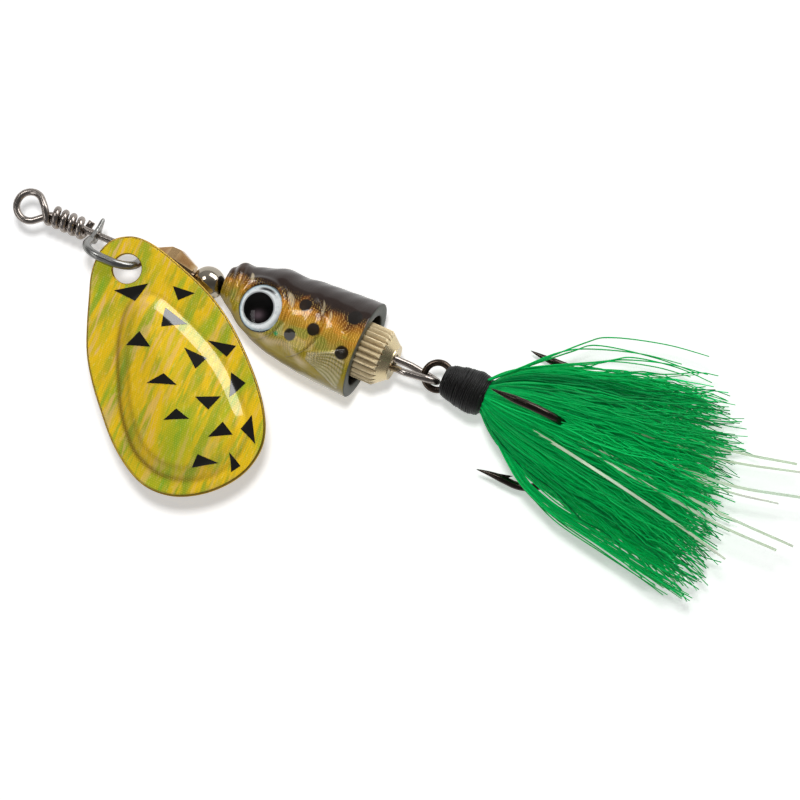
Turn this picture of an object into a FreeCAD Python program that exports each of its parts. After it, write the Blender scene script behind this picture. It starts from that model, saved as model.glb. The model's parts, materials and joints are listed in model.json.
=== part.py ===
import FreeCAD, Part
import math
import os

# Inline spinner lure with a little fish head and a treble hook.  Millimetres.
# Origin: centre of the front line eye.  +X runs along the wire toward the tail,
# +Z is the back of the fish head, -Y is its left side.

Vector = FreeCAD.Vector
X_AXIS = Vector(1, 0, 0)
Y_AXIS = Vector(0, 1, 0)
ORIGIN = Vector(0, 0, 0)
os.makedirs("parts", exist_ok=True)

# Dimensions shared by several pieces
WIRE_R = 0.43               # wire shaft radius
RUN_GAP = 0.05              # radial running clearance on the wire
WIRE_BORE_R = WIRE_R + RUN_GAP
WEIGHT_BORE_X = 44.60       # floor of the wide bore in the knurled weight
TREBLE_Z = 0.60             # treble axis height above the wire axis


# ---------------------------------------------------------------- helpers
def save(shape, name):
    """Write the largest solid of a shape, repaired and turned outward if needed."""
    solid = max(shape.Solids, key=lambda candidate: candidate.Volume)
    if not solid.isValid():
        solid.fix(1e-5, 1e-5, 1e-5)
    if solid.Volume < 0:
        solid.reverse()
    solid.exportStep("parts/%s.step" % name)


def circle_wire(radius, centre, normal):
    return Part.Wire([Part.makeCircle(radius, centre, normal)])


def polygon_face(points):
    return Part.Face(Part.makePolygon(points + points[:1]))


def curve_wire(points):
    """A smooth closed curve through the points."""
    curve = Part.BSplineCurve()
    curve.interpolate(Points=points, PeriodicFlag=True)
    return Part.Wire([curve.toShape()])


def x_cylinder(radius, x_start, x_end, z=0.0):
    return Part.makeCylinder(radius, x_end - x_start, Vector(x_start, 0, z), X_AXIS)


def revolve_x(profile, z=0.0):
    """Turn an (x, radius) profile about the line along X at height z."""
    points = [Vector(x, 0, z + radius) for x, radius in profile]
    points.insert(0, Vector(profile[0][0], 0, z))
    points.append(Vector(profile[-1][0], 0, z))
    return polygon_face(points).revolve(Vector(0, 0, z), X_AXIS, 360)


def bent_wire(corners, bend_radii, radius):
    """A round wire along straight runs joined by tangent bends, one per inner corner."""
    touch = 1e-3            # shorter straight runs are left out
    edges = []
    last = corners[0]
    for i, bend in enumerate(bend_radii):
        corner = corners[i + 1]
        back = (corners[i] - corner).normalize()
        ahead = (corners[i + 2] - corner).normalize()
        half_angle = back.getAngle(ahead) / 2
        setback = bend / math.tan(half_angle)
        arc_start = corner + back * setback
        arc_end = corner + ahead * setback
        inward = (back + ahead).normalize()
        arc_mid = corner + inward * (bend / math.sin(half_angle)) - inward * bend
        if (arc_start - last).Length > touch:
            edges.append(Part.makeLine(last, arc_start))
        else:
            arc_start = last
        edges.append(Part.Arc(arc_start, arc_mid, arc_end).toShape())
        last = arc_end
    edges.append(Part.makeLine(last, corners[-1]))
    direction = (corners[1] - corners[0]).normalize()
    section = circle_wire(radius, corners[0], direction)
    return Part.Wire(edges).makePipeShell([section], True, False)


# ---------------------------------------------------------------- wire shaft
BENT_R = WIRE_R - 0.006     # bent parts are a hair thinner, so the fuse is clean
EYE_R = 1.69                # centre-line radius of the line eye
EYE_OPEN = 50.0             # degrees from +X at which the eye's circle starts and ends
COIL_R = 0.92               # centre-line radius of the wrapped turns
COIL_PITCH = 1.02
COIL_X = 2.45
COIL_PHASE = 105.0          # first turn's start, degrees from the top toward the left
COIL_TURNS = 4.46
STUB_LENGTH, STUB_OVERLAP = 1.35, 0.15
SHAFT_X = 3.0
LOOP_END_X = 52.05          # rear end of the tail loop


def line_eye(coil_start):
    half_step = (360 - 2 * EYE_OPEN) / 6        # three equal bends make the circle
    corner_r = EYE_R / math.cos(math.radians(half_step))
    corners = [Vector(3.6, 0, 0), Vector(EYE_R / math.cos(math.radians(EYE_OPEN)), 0, 0)]
    for steps in (1, 3, 5):
        angle = math.radians(-EYE_OPEN - steps * half_step)
        corners.append(Vector(corner_r * math.cos(angle), 0, corner_r * math.sin(angle)))
    corners += [Vector(1.80, -0.90, 0.56), coil_start + Vector(0, 0, -0.001)]
    return bent_wire(corners, [0.8, EYE_R, EYE_R, EYE_R, 0.62], BENT_R)


def coil_and_stub():
    """The wrapped turns and the straight end of the wire that leaves them."""
    height = COIL_PITCH * COIL_TURNS
    helix = Part.makeHelix(COIL_PITCH, height, COIL_R)
    slope = COIL_PITCH / (2 * math.pi * COIL_R)
    section = circle_wire(BENT_R, Vector(COIL_R, 0, 0), Vector(0, 1, slope))
    coil = Part.Wire(helix.Edges).makePipeShell([section], True, True)
    turn = 2 * math.pi * COIL_TURNS
    end = Vector(COIL_R * math.cos(turn), COIL_R * math.sin(turn), height)
    direction = Vector(-math.sin(turn), math.cos(turn), slope).normalize()
    stub = Part.makeCylinder(BENT_R - 0.02, STUB_LENGTH, end - direction * STUB_OVERLAP,
                             direction)
    # Both are built along Z, then laid along the shaft.
    for shape in (coil, stub):
        shape.rotate(ORIGIN, Y_AXIS, 90)
        shape.rotate(ORIGIN, X_AXIS, 180 + COIL_PHASE)
        shape.translate(Vector(COIL_X, 0, 0))
    return coil, stub


def tail_loop():
    corners = [
        Vector(WEIGHT_BORE_X - 0.4, 0, 0), Vector(44.85, 0, 0), Vector(46.05, -0.12, -0.48),
        Vector(48.3, -1.22, -0.52), Vector(LOOP_END_X, -1.35, -0.05),
        Vector(LOOP_END_X, 1.35, 0.05), Vector(48.3, 1.22, 0.52),
        Vector(46.45, 0.16, 0.50), Vector(46.0, 0.06, 0.50),
    ]
    return bent_wire(corners, [0.9, 0.9, 1.8, 1.2, 1.2, 1.8, 0.6], BENT_R)


def wire_shaft():
    phase = math.radians(COIL_PHASE)
    coil_start = Vector(COIL_X, -COIL_R * math.sin(phase), COIL_R * math.cos(phase))
    eye = line_eye(coil_start)
    coil, stub = coil_and_stub()
    knuckle = Part.makeSphere(BENT_R + 0.03, coil_start)    # joins eye and coil
    shaft = x_cylinder(WIRE_R, SHAFT_X, WEIGHT_BORE_X)
    save(shaft.fuse([eye, knuckle, coil, stub, tail_loop()]), "wire_shaft")


# ---------------------------------------------------------------- clevis
EAR_X = (8.55, 14.95)       # mid-planes of the front and rear ears
EAR_T = 0.42
EAR_R = 1.15
TAB_REACH = (2.05, 1.22)    # tab tip above the wire axis, front and rear
BOW_REACH = 5.08            # bow centre line from the wire axis
BOW_R = 0.50                # round wire of the bow
BOW_BEND = 2.40
BOW_FOOT = 1.80             # where the bow's legs start, from the wire axis
BOW_DIR = Vector(0.0, -0.9023, -0.4311)     # the bow points left and down
CLEVIS_GAP = 0.07


def clevis():
    """Built with its bow along +Z, then turned to BOW_DIR."""
    front, rear = EAR_X
    body = bent_wire([Vector(front, 0, BOW_FOOT), Vector(front, 0, BOW_REACH),
                      Vector(rear, 0, BOW_REACH), Vector(rear, 0, BOW_FOOT)],
                     [BOW_BEND, BOW_BEND], BOW_R)
    # This direction becomes world +Z, where the tabs point, after the turn.
    up_y, up_z = -BOW_DIR.y, BOW_DIR.z
    thickness = Vector(EAR_T, 0, 0)
    for ear_x, reach in zip(EAR_X, TAB_REACH):
        face_x = ear_x - EAR_T / 2
        ear = x_cylinder(EAR_R, face_x, ear_x + EAR_T / 2)
        # (height, side) of the tab's corners
        tab_corners = ((0.3, -0.98), (reach, -0.17), (reach, 0.17), (0.3, 0.98))
        tab = polygon_face([
            Vector(face_x, height * up_y - side * up_z, height * up_z + side * up_y)
            for height, side in tab_corners]).extrude(thickness)
        # (y, z) of the neck's corners, tapering from the ear to the bow
        neck_corners = ((-0.98, 0.4), (0.98, 0.4), (0.36, 2.35), (-0.36, 2.35))
        neck = polygon_face([Vector(face_x, y, z) for y, z in neck_corners]).extrude(thickness)
        body = body.fuse([ear, tab, neck])
    body = body.cut(x_cylinder(WIRE_R + CLEVIS_GAP, front - 2, rear + 2))
    body.rotate(ORIGIN, X_AXIS, math.degrees(math.atan2(-BOW_DIR.y, BOW_DIR.z)))
    save(body, "clevis")


# ---------------------------------------------------------------- blade and film
BLADE_Y = -3.48             # mid-plane of the flat rim
BLADE_T = 0.55
BLADE_FACE_Y = BLADE_Y - BLADE_T / 2        # outer (left) face of the rim
CROWN_HEIGHT = 1.90         # height of the raised panel
SHOULDER = 2.60             # width of the steep slope inside the panel's edge
DOME = 7.5                  # width of the gentle slope inside the panel's edge
HOLE_X, HOLE_Z, HOLE_R = 14.34, -2.22, 1.70
FILM_T = 0.06
FILM_GAP = 0.03
FILM_EDGE = 0.24            # film outline inside the blade's
FILM_HOLE_GAP = 0.12
PRISM_Y = (-9.0, 1.0)       # span of the outline prisms, well clear of the blade

GRID_COUNT = 56             # crown samples each way
GRID_X = (8.6, 39.0)
GRID_Z = (-26.0, 3.0)
SMOOTH_PASSES = 5

BLADE_SLANT = 23.4          # degrees; the blade's width rises toward the tail by this
ACROSS_FROM, ACROSS_TO, ACROSS_SCALE = 17.26, 17.32, 1.031
ALONG_CENTRE, ALONG_SCALE = 33.03, 1.007
FIT_X_SCALE, FIT_X, FIT_Z = 1.0187, 0.62, -0.40

# (x, z) around the blade, before fit_outline
BLADE_OUTLINE = (
    (9.95, -2.4), (10.12, -0.9), (10.95, 0.62), (12.5, 1.62), (14.0, 1.88), (15.6, 1.70),
    (17.5, 1.2), (19.9, 0.4), (22.3, -0.5), (24.7, -1.7), (27.05, -3.3), (29.4, -5.3),
    (31.8, -7.7), (33.7, -10.05), (34.95, -12.2), (35.55, -14.3), (35.45, -16.3),
    (34.85, -18.2), (33.65, -20.1), (31.8, -21.95), (29.4, -23.4), (27.05, -23.95),
    (24.7, -23.7), (22.3, -22.5), (19.9, -20.65), (17.5, -18.1), (15.1, -15.25),
    (13.3, -12.5), (12.0, -9.45), (10.95, -6.5), (10.2, -4.3),
)
# (x, z) around the raised panel, before fit_outline
PANEL_OUTLINE = (
    (16.4, -3.9), (15.4, -5.5), (15.6, -8.4), (16.6, -11.5), (17.9, -14.2), (19.2, -16.7),
    (20.9, -19.0), (22.8, -20.8), (25.1, -21.8), (27.05, -22.0), (29.4, -21.4), (31.8, -19.8),
    (33.2, -17.4), (33.7, -15.0), (32.9, -12.4), (30.8, -10.05), (28.4, -7.9), (25.9, -6.3),
    (22.3, -4.7), (19.6, -3.7), (17.7, -3.4),
)


def fit_outline(points):
    """Stretch an outline across and along the slanted blade, then along X, and shift it."""
    cos, sin = math.cos(math.radians(BLADE_SLANT)), math.sin(math.radians(BLADE_SLANT))
    fitted = []
    for x, z in points:
        across = ACROSS_TO + (x * cos + z * sin - ACROSS_FROM) * ACROSS_SCALE
        along = ALONG_CENTRE + (x * sin - z * cos - ALONG_CENTRE) * ALONG_SCALE
        fitted.append(((across * cos + along * sin) * FIT_X_SCALE + FIT_X,
                       across * sin - along * cos + FIT_Z))
    return fitted


def densify(points, steps):
    """Catmull-Rom points around a closed outline, a number of steps per side."""
    dense = []
    count = len(points)
    for i in range(count):
        sides = list(zip(points[i - 1], points[i], points[(i + 1) % count],
                         points[(i + 2) % count]))
        for j in range(steps):
            t = j / steps
            dense.append(tuple(
                0.5 * (2 * here + (after - before) * t
                       + (2 * before - 5 * here + 4 * after - beyond) * t * t
                       + (3 * here - before - 3 * after + beyond) * t ** 3)
                for before, here, after, beyond in sides))
    return dense


def is_inside(x, z, outline):
    crossed = False
    for i, (x1, z1) in enumerate(outline):
        x2, z2 = outline[i - 1]
        if (z1 > z) != (z2 > z) and x < (x2 - x1) * (z - z1) / (z2 - z1) + x1:
            crossed = not crossed
    return crossed


def edge_distance(x, z, outline):
    nearest = math.inf
    for i, (x2, z2) in enumerate(outline):
        x1, z1 = outline[i - 1]
        dx, dz = x2 - x1, z2 - z1
        t = max(0.0, min(1.0, ((x - x1) * dx + (z - z1) * dz) / (dx * dx + dz * dz)))
        nearest = min(nearest, math.hypot(x - x1 - t * dx, z - z1 - t * dz))
    return nearest


def crown_height(x, z, panel):
    """Steep shoulder plus gentle dome, both rising from the panel's edge."""
    if not is_inside(x, z, panel):
        return 0.0
    depth = edge_distance(x, z, panel)
    shoulder = math.sin(min(1.0, depth / SHOULDER) * math.pi / 2) ** 1.3
    dome = math.sin(min(1.0, depth / DOME) * math.pi / 2)
    return CROWN_HEIGHT * (0.78 * shoulder + 0.22 * dome)


def smooth(grid):
    """Average each height with its four neighbours."""
    last = GRID_COUNT - 1
    return [[(4 * grid[i][j] + grid[max(0, i - 1)][j] + grid[min(last, i + 1)][j]
              + grid[i][max(0, j - 1)] + grid[i][min(last, j + 1)]) / 8.0
             for j in range(GRID_COUNT)] for i in range(GRID_COUNT)]


def grid_line(limits):
    start, end = limits
    return [start + i * (end - start) / (GRID_COUNT - 1) for i in range(GRID_COUNT)]


def inset(points, distance):
    """Move each outline point toward the inside, square to its neighbours' chord."""
    count = len(points)
    centre_x = sum(x for x, z in points) / count
    centre_z = sum(z for x, z in points) / count
    moved = []
    for i, (x, z) in enumerate(points):
        before, after = points[i - 1], points[(i + 1) % count]
        chord_x, chord_z = after[0] - before[0], after[1] - before[1]
        length = math.hypot(chord_x, chord_z)
        normal_x, normal_z = chord_z / length, -chord_x / length
        if normal_x * (centre_x - x) + normal_z * (centre_z - z) < 0:
            normal_x, normal_z = -normal_x, -normal_z
        moved.append((x + normal_x * distance, z + normal_z * distance))
    return moved


def crowned_sheet(xs, zs, heights, face_y, thickness, outline, hole_r):
    """A crowned sheet, trimmed to the outline and pierced for the clevis."""
    surface = Part.BSplineSurface()
    surface.interpolate([[Vector(x, face_y - height, z) for z, height in zip(zs, row)]
                         for x, row in zip(xs, heights)])
    slab = surface.toShape().extrude(Vector(0, thickness, 0))
    start_y, end_y = PRISM_Y
    rim = curve_wire([Vector(x, start_y, z) for x, z in outline])
    prism = Part.Face(rim).extrude(Vector(0, end_y - start_y, 0))
    hole = Part.makeCylinder(hole_r, 20, Vector(HOLE_X, -12, HOLE_Z), Y_AXIS)
    return slab.common(prism).cut(hole)


def blade_and_film():
    outline = fit_outline(BLADE_OUTLINE)
    panel = densify(fit_outline(PANEL_OUTLINE), 5)
    xs, zs = grid_line(GRID_X), grid_line(GRID_Z)
    heights = [[crown_height(x, z, panel) for z in zs] for x in xs]
    for _ in range(SMOOTH_PASSES):
        heights = smooth(heights)
    save(crowned_sheet(xs, zs, heights, BLADE_FACE_Y, BLADE_T, outline, HOLE_R), "blade")
    save(crowned_sheet(xs, zs, heights, BLADE_FACE_Y - FILM_GAP - FILM_T, FILM_T,
                       inset(outline, FILM_EDGE), HOLE_R + FILM_HOLE_GAP), "blade_film")


# ---------------------------------------------------------------- bushing and bead
# x, corner radius
BUSHING = ((15.40, 1.30), (17.62, 2.42), (18.66, 2.42), (20.95, 1.30))
BUSHING_SIDES = 8
BALL_X, BALL_R = 22.97, 1.95


def faceted_bushing():
    sections = []
    for x, radius in BUSHING:
        angles = [(2 * i + 1) * math.pi / BUSHING_SIDES for i in range(BUSHING_SIDES)]
        points = [Vector(x, radius * math.cos(a), radius * math.sin(a)) for a in angles]
        sections.append(Part.makePolygon(points + points[:1]))
    bushing = Part.makeLoft(sections, True, True)
    save(bushing.cut(x_cylinder(WIRE_BORE_R, 10, 30)), "faceted_bushing")


def ball_bead():
    ball = Part.makeSphere(BALL_R, Vector(BALL_X, 0, 0))
    save(ball.cut(x_cylinder(WIRE_BORE_R, 10, 30)), "ball_bead")


# ---------------------------------------------------------------- fish head and eyes
# x, centre z, half height, half width
HEAD = (
    (24.97, 0.92, 1.85, 1.75),
    (26.10, 0.98, 2.64, 2.52),
    (28.50, 0.50, 3.75, 3.56),
    (31.60, 0.24, 4.78, 4.62),
    (35.20, 0.05, 5.28, 5.22),
    (39.00, 0.00, 5.60, 5.58),
    (42.90, 0.00, 5.80, 5.80),
)
HEAD_POINTS = 20            # points around each section
# x, radius of the hollow, open at the rear
CAVITY = ((31.5, 1.6), (34.2, 3.0), (37.0, 3.85), (40.0, 4.2), (43.4, 4.3))

FISH_EYE_X, FISH_EYE_Y, FISH_EYE_Z = 30.50, 4.34, -0.25
FISH_EYE_TILT = 12.0        # degrees the eye looks forward
FISH_EYE_R = 2.80
POCKET_DEPTH, POCKET_GAP = 0.95, 0.05
DISC_DEPTH, DISC_T = 0.93, 0.25
LENS_DEPTH, LENS_HEIGHT = 0.66, 0.92
LENS_R = FISH_EYE_R - 0.05
LENS_SPHERE_R = (LENS_R * LENS_R + LENS_HEIGHT * LENS_HEIGHT) / (2 * LENS_HEIGHT)


def head_and_eyes():
    sections = []
    for x, centre_z, half_height, half_width in HEAD:
        angles = [2 * math.pi * i / HEAD_POINTS for i in range(HEAD_POINTS)]
        sections.append(curve_wire([
            Vector(x, half_width * math.cos(a), centre_z + half_height * math.sin(a))
            for a in angles]))
    head = Part.makeLoft(sections, True, False)
    head = head.cut(revolve_x(CAVITY))
    head = head.cut(x_cylinder(WIRE_BORE_R, 20, 35))
    tilt = math.radians(FISH_EYE_TILT)
    for side, name in ((-1, "left"), (1, "right")):
        outward = Vector(-math.sin(tilt), side * math.cos(tilt), 0)
        centre = Vector(FISH_EYE_X, side * FISH_EYE_Y, FISH_EYE_Z)
        head = head.cut(Part.makeCylinder(FISH_EYE_R + POCKET_GAP, 6,
                                          centre - outward * POCKET_DEPTH, outward))
        save(Part.makeCylinder(FISH_EYE_R, DISC_T, centre - outward * DISC_DEPTH, outward),
             "eye_disc_" + name)
        base = centre - outward * LENS_DEPTH
        sphere = Part.makeSphere(LENS_SPHERE_R, base - outward * (LENS_SPHERE_R - LENS_HEIGHT))
        save(sphere.common(Part.makeCylinder(LENS_R + 0.5, 3, base, outward)),
             "eye_lens_" + name)
    save(head, "head_shell")


# ---------------------------------------------------------------- knurled weight
WEIGHT_X = (38.70, 46.70)
TIP_R, ROOT_R = 3.35, 2.90  # knurl tooth tips and roots
TEETH = 26
WEIGHT_BORE_R = 1.04
# x, radius of the turned envelope: front chamfer, full size, rear taper, small chamfer
ENVELOPE = (
    (WEIGHT_X[0], 2.7), (WEIGHT_X[0] + 0.7, TIP_R + 0.02), (45.08, TIP_R + 0.02),
    (46.55, 2.15), (WEIGHT_X[1], 2.03),
)


def knurled_weight():
    front, rear = WEIGHT_X
    points = []
    for i in range(2 * TEETH):
        angle = math.pi * i / TEETH
        radius = TIP_R if i % 2 == 0 else ROOT_R
        points.append(Vector(front, radius * math.cos(angle), radius * math.sin(angle)))
    weight = polygon_face(points).extrude(Vector(rear - front, 0, 0))
    weight = weight.common(revolve_x(ENVELOPE))
    weight = weight.cut(x_cylinder(WIRE_BORE_R, 30, 50))
    weight = weight.cut(x_cylinder(WEIGHT_BORE_R, WEIGHT_BORE_X, 50))
    save(weight, "knurled_weight")


# ---------------------------------------------------------------- treble hook
RING_X, RING_R, RING_T = 51.95, 1.575, 0.39     # ring centre, radius, wire radius
HOOK_R = 0.45
SHANK_OFFSET = 0.565        # shank from the treble axis
POINT_OFFSET = 8.60         # point leg from the treble axis
HOOK_BEND_X = 64.30
HOOK_POINT_X = 59.70
POINT_LENGTH = 2.9
SINGLE_X, DOUBLE_X = 54.10, 53.20           # front ends of the shanks
# Degrees from the left side upward: single, upper and lower hook
SINGLE_ANGLE = 6.9
HOOK_ANGLES = (SINGLE_ANGLE, SINGLE_ANGLE + 120, SINGLE_ANGLE - 120)
# x, z from the point leg's centre line
BARB = ((61.2, -0.18), (64.0, -0.86), (63.2, -0.32), (63.0, -0.08))
BARB_T = 0.34


def hook_pipe(radius, shank_x, leg_x):
    """Shank, half-round bend and point leg in the XZ plane, the leg above the shank."""
    bend_r = (POINT_OFFSET - SHANK_OFFSET) / 2
    shank_start = Vector(shank_x, 0, SHANK_OFFSET)
    bend_start = Vector(HOOK_BEND_X, 0, SHANK_OFFSET)
    bend_mid = Vector(HOOK_BEND_X + bend_r, 0, (POINT_OFFSET + SHANK_OFFSET) / 2)
    bend_end = Vector(HOOK_BEND_X, 0, POINT_OFFSET)
    path = Part.Wire([Part.makeLine(shank_start, bend_start),
                      Part.Arc(bend_start, bend_mid, bend_end).toShape(),
                      Part.makeLine(bend_end, Vector(leg_x, 0, POINT_OFFSET))])
    return path.makePipeShell([circle_wire(radius, shank_start, X_AXIS)], True, False)


def place_hook(shape, angle):
    """Turn a hook from +Z to its angle and lift it to the treble axis."""
    placed = shape.copy()
    placed.rotate(ORIGIN, X_AXIS, 90.0 - angle)
    placed.translate(Vector(0, 0, TREBLE_Z))
    return placed


def hook(shank_x, angle):
    leg_x = HOOK_POINT_X + POINT_LENGTH
    pipe = hook_pipe(HOOK_R, shank_x, leg_x)
    point = Part.makeCone(HOOK_R, 0.03, POINT_LENGTH, Vector(leg_x, 0, POINT_OFFSET),
                          Vector(-1, 0, 0))
    barb = polygon_face([Vector(x, -BARB_T / 2, POINT_OFFSET + z) for x, z in BARB])
    return place_hook(pipe.fuse([point, barb.extrude(Vector(0, BARB_T, 0))]), angle)


def ring(wire_r):
    return Part.makeTorus(RING_R, wire_r, Vector(RING_X, 0, TREBLE_Z), Y_AXIS)


def treble_hook():
    single, upper, lower = HOOK_ANGLES
    save(ring(RING_T).fuse([hook(DOUBLE_X, upper), hook(DOUBLE_X, lower)]), "hook_double")
    save(hook(SINGLE_X, single), "hook_single")


# ---------------------------------------------------------------- thread and hair
# x, radius about the treble axis
WRAP = ((53.05, 1.70), (54.5, 2.02), (56.6, 2.40), (57.6, 2.25), (58.15, 1.75))
HAIR = ((58.30, 2.00), (86.00, 9.00), (88.50, 8.20))
WRAP_BORE_R, HAIR_BORE_R = 1.06, 1.25       # room for the shanks


def thread_wrap():
    wrap = revolve_x(WRAP, TREBLE_Z).cut(x_cylinder(WRAP_BORE_R, 52.5, 60.5, TREBLE_Z))
    save(wrap.cut(ring(RING_T + 0.03)), "thread_wrap")


def hair_skirt():
    hair = revolve_x(HAIR, TREBLE_Z).cut(x_cylinder(HAIR_BORE_R, 57.9, 67.2, TREBLE_Z))
    for angle in HOOK_ANGLES:
        hair = hair.cut(place_hook(hook_pipe(HOOK_R + 0.15, 60.0, 62.0), angle))
    save(hair, "hair_skirt")


# ---------------------------------------------------------------- flash strands
STRAND_W, STRAND_T = 0.50, 0.10
STRAND_X, STRAND_R = 58.5, 2.42     # start, and its distance from the treble axis
STRAND_FLARE = 0.268                # radius gained per length
# end x, end z above the treble axis, side (-1 left, +1 right)
STRANDS = (
    (93.0, 6.9, -1), (94.5, 6.4, 1), (95.8, 3.8, -1), (93.0, 2.0, 1),
    (96.6, -1.75, -1), (94.8, -2.9, 1), (90.0, -6.1, -1),
)


def flash_strand(end_x, end_z, side):
    end_r = STRAND_R + STRAND_FLARE * (end_x - STRAND_X)
    angle = math.asin(end_z / end_r)
    outward = Vector(0, side * math.cos(angle), math.sin(angle))
    start = Vector(STRAND_X, 0, TREBLE_Z) + outward * STRAND_R
    run = Vector(end_x, 0, TREBLE_Z) + outward * end_r - start
    direction = Vector(run).normalize()
    across = direction.cross(outward).normalize()
    half_width = across * (STRAND_W / 2)
    half_thick = across.cross(direction) * (STRAND_T / 2)
    return polygon_face([
        start + half_width + half_thick, start - half_width + half_thick,
        start - half_width - half_thick, start + half_width - half_thick]).extrude(run)


wire_shaft()
clevis()
blade_and_film()
faceted_bushing()
ball_bead()
head_and_eyes()
knurled_weight()
treble_hook()
thread_wrap()
hair_skirt()
for number, strand in enumerate(STRANDS, 1):
    save(flash_strand(*strand), "flash_strand_%d" % number)
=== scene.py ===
"""A fishing lure lying on a white table.

The wire runs along X from its line eye at the origin. A blade hangs from it on a clevis,
followed by a ball, a fish head with a knurled weight, and a treble hook dressed with hair.
+X points to the tail, +Z to the lure's back and -Y to the camera; the table is at +Y.
Lengths are in mm and become metres when a mesh is made.
"""
import bpy
import json
import math
import numpy as np
from mathutils import Vector, Matrix

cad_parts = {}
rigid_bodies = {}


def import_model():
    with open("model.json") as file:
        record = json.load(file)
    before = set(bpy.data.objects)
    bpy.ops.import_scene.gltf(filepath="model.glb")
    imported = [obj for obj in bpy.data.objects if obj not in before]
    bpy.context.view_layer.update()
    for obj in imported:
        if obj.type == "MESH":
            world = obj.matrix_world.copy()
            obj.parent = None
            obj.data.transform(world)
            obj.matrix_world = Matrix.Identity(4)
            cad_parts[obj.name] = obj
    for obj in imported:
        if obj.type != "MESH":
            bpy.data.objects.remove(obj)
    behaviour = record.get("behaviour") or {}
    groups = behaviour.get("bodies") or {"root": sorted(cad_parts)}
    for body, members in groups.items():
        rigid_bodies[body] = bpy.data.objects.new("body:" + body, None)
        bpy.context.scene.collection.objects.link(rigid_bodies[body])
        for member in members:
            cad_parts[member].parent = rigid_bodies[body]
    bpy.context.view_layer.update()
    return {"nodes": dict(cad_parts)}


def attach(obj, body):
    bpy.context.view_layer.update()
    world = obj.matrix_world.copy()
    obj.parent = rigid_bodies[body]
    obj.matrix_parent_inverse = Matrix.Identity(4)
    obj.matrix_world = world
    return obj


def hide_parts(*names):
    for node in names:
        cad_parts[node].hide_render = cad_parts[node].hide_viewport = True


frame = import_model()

MM = 0.001

# The camera is turned about Z, then rolled about its own axis.
VIEW_TURN = math.radians(11.0)
VIEW_ROLL = math.radians(23.4)
# Some outlines were measured square to the camera: 1 / cos and tan of its turn, and an offset in Z.
VIEW_STRETCH, VIEW_SKEW, VIEW_DROP = 1.0187, 0.194, 0.40

WIRE_R = 0.43


def from_view(x, z, y):
    """A point measured square to the camera, put at depth y on the lure."""
    return np.array([x * VIEW_STRETCH - VIEW_SKEW * y, y, z - VIEW_DROP])


# =============================================================== shader graphs
def rgb(code):
    """Linear RGBA of a #rrggbb colour."""
    parts = [int(code[i:i + 2], 16) / 255 for i in (1, 3, 5)]
    parts = [x / 12.92 if x <= 0.04045 else ((x + 0.055) / 1.055) ** 2.4 for x in parts]
    return (*parts, 1.0)


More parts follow.
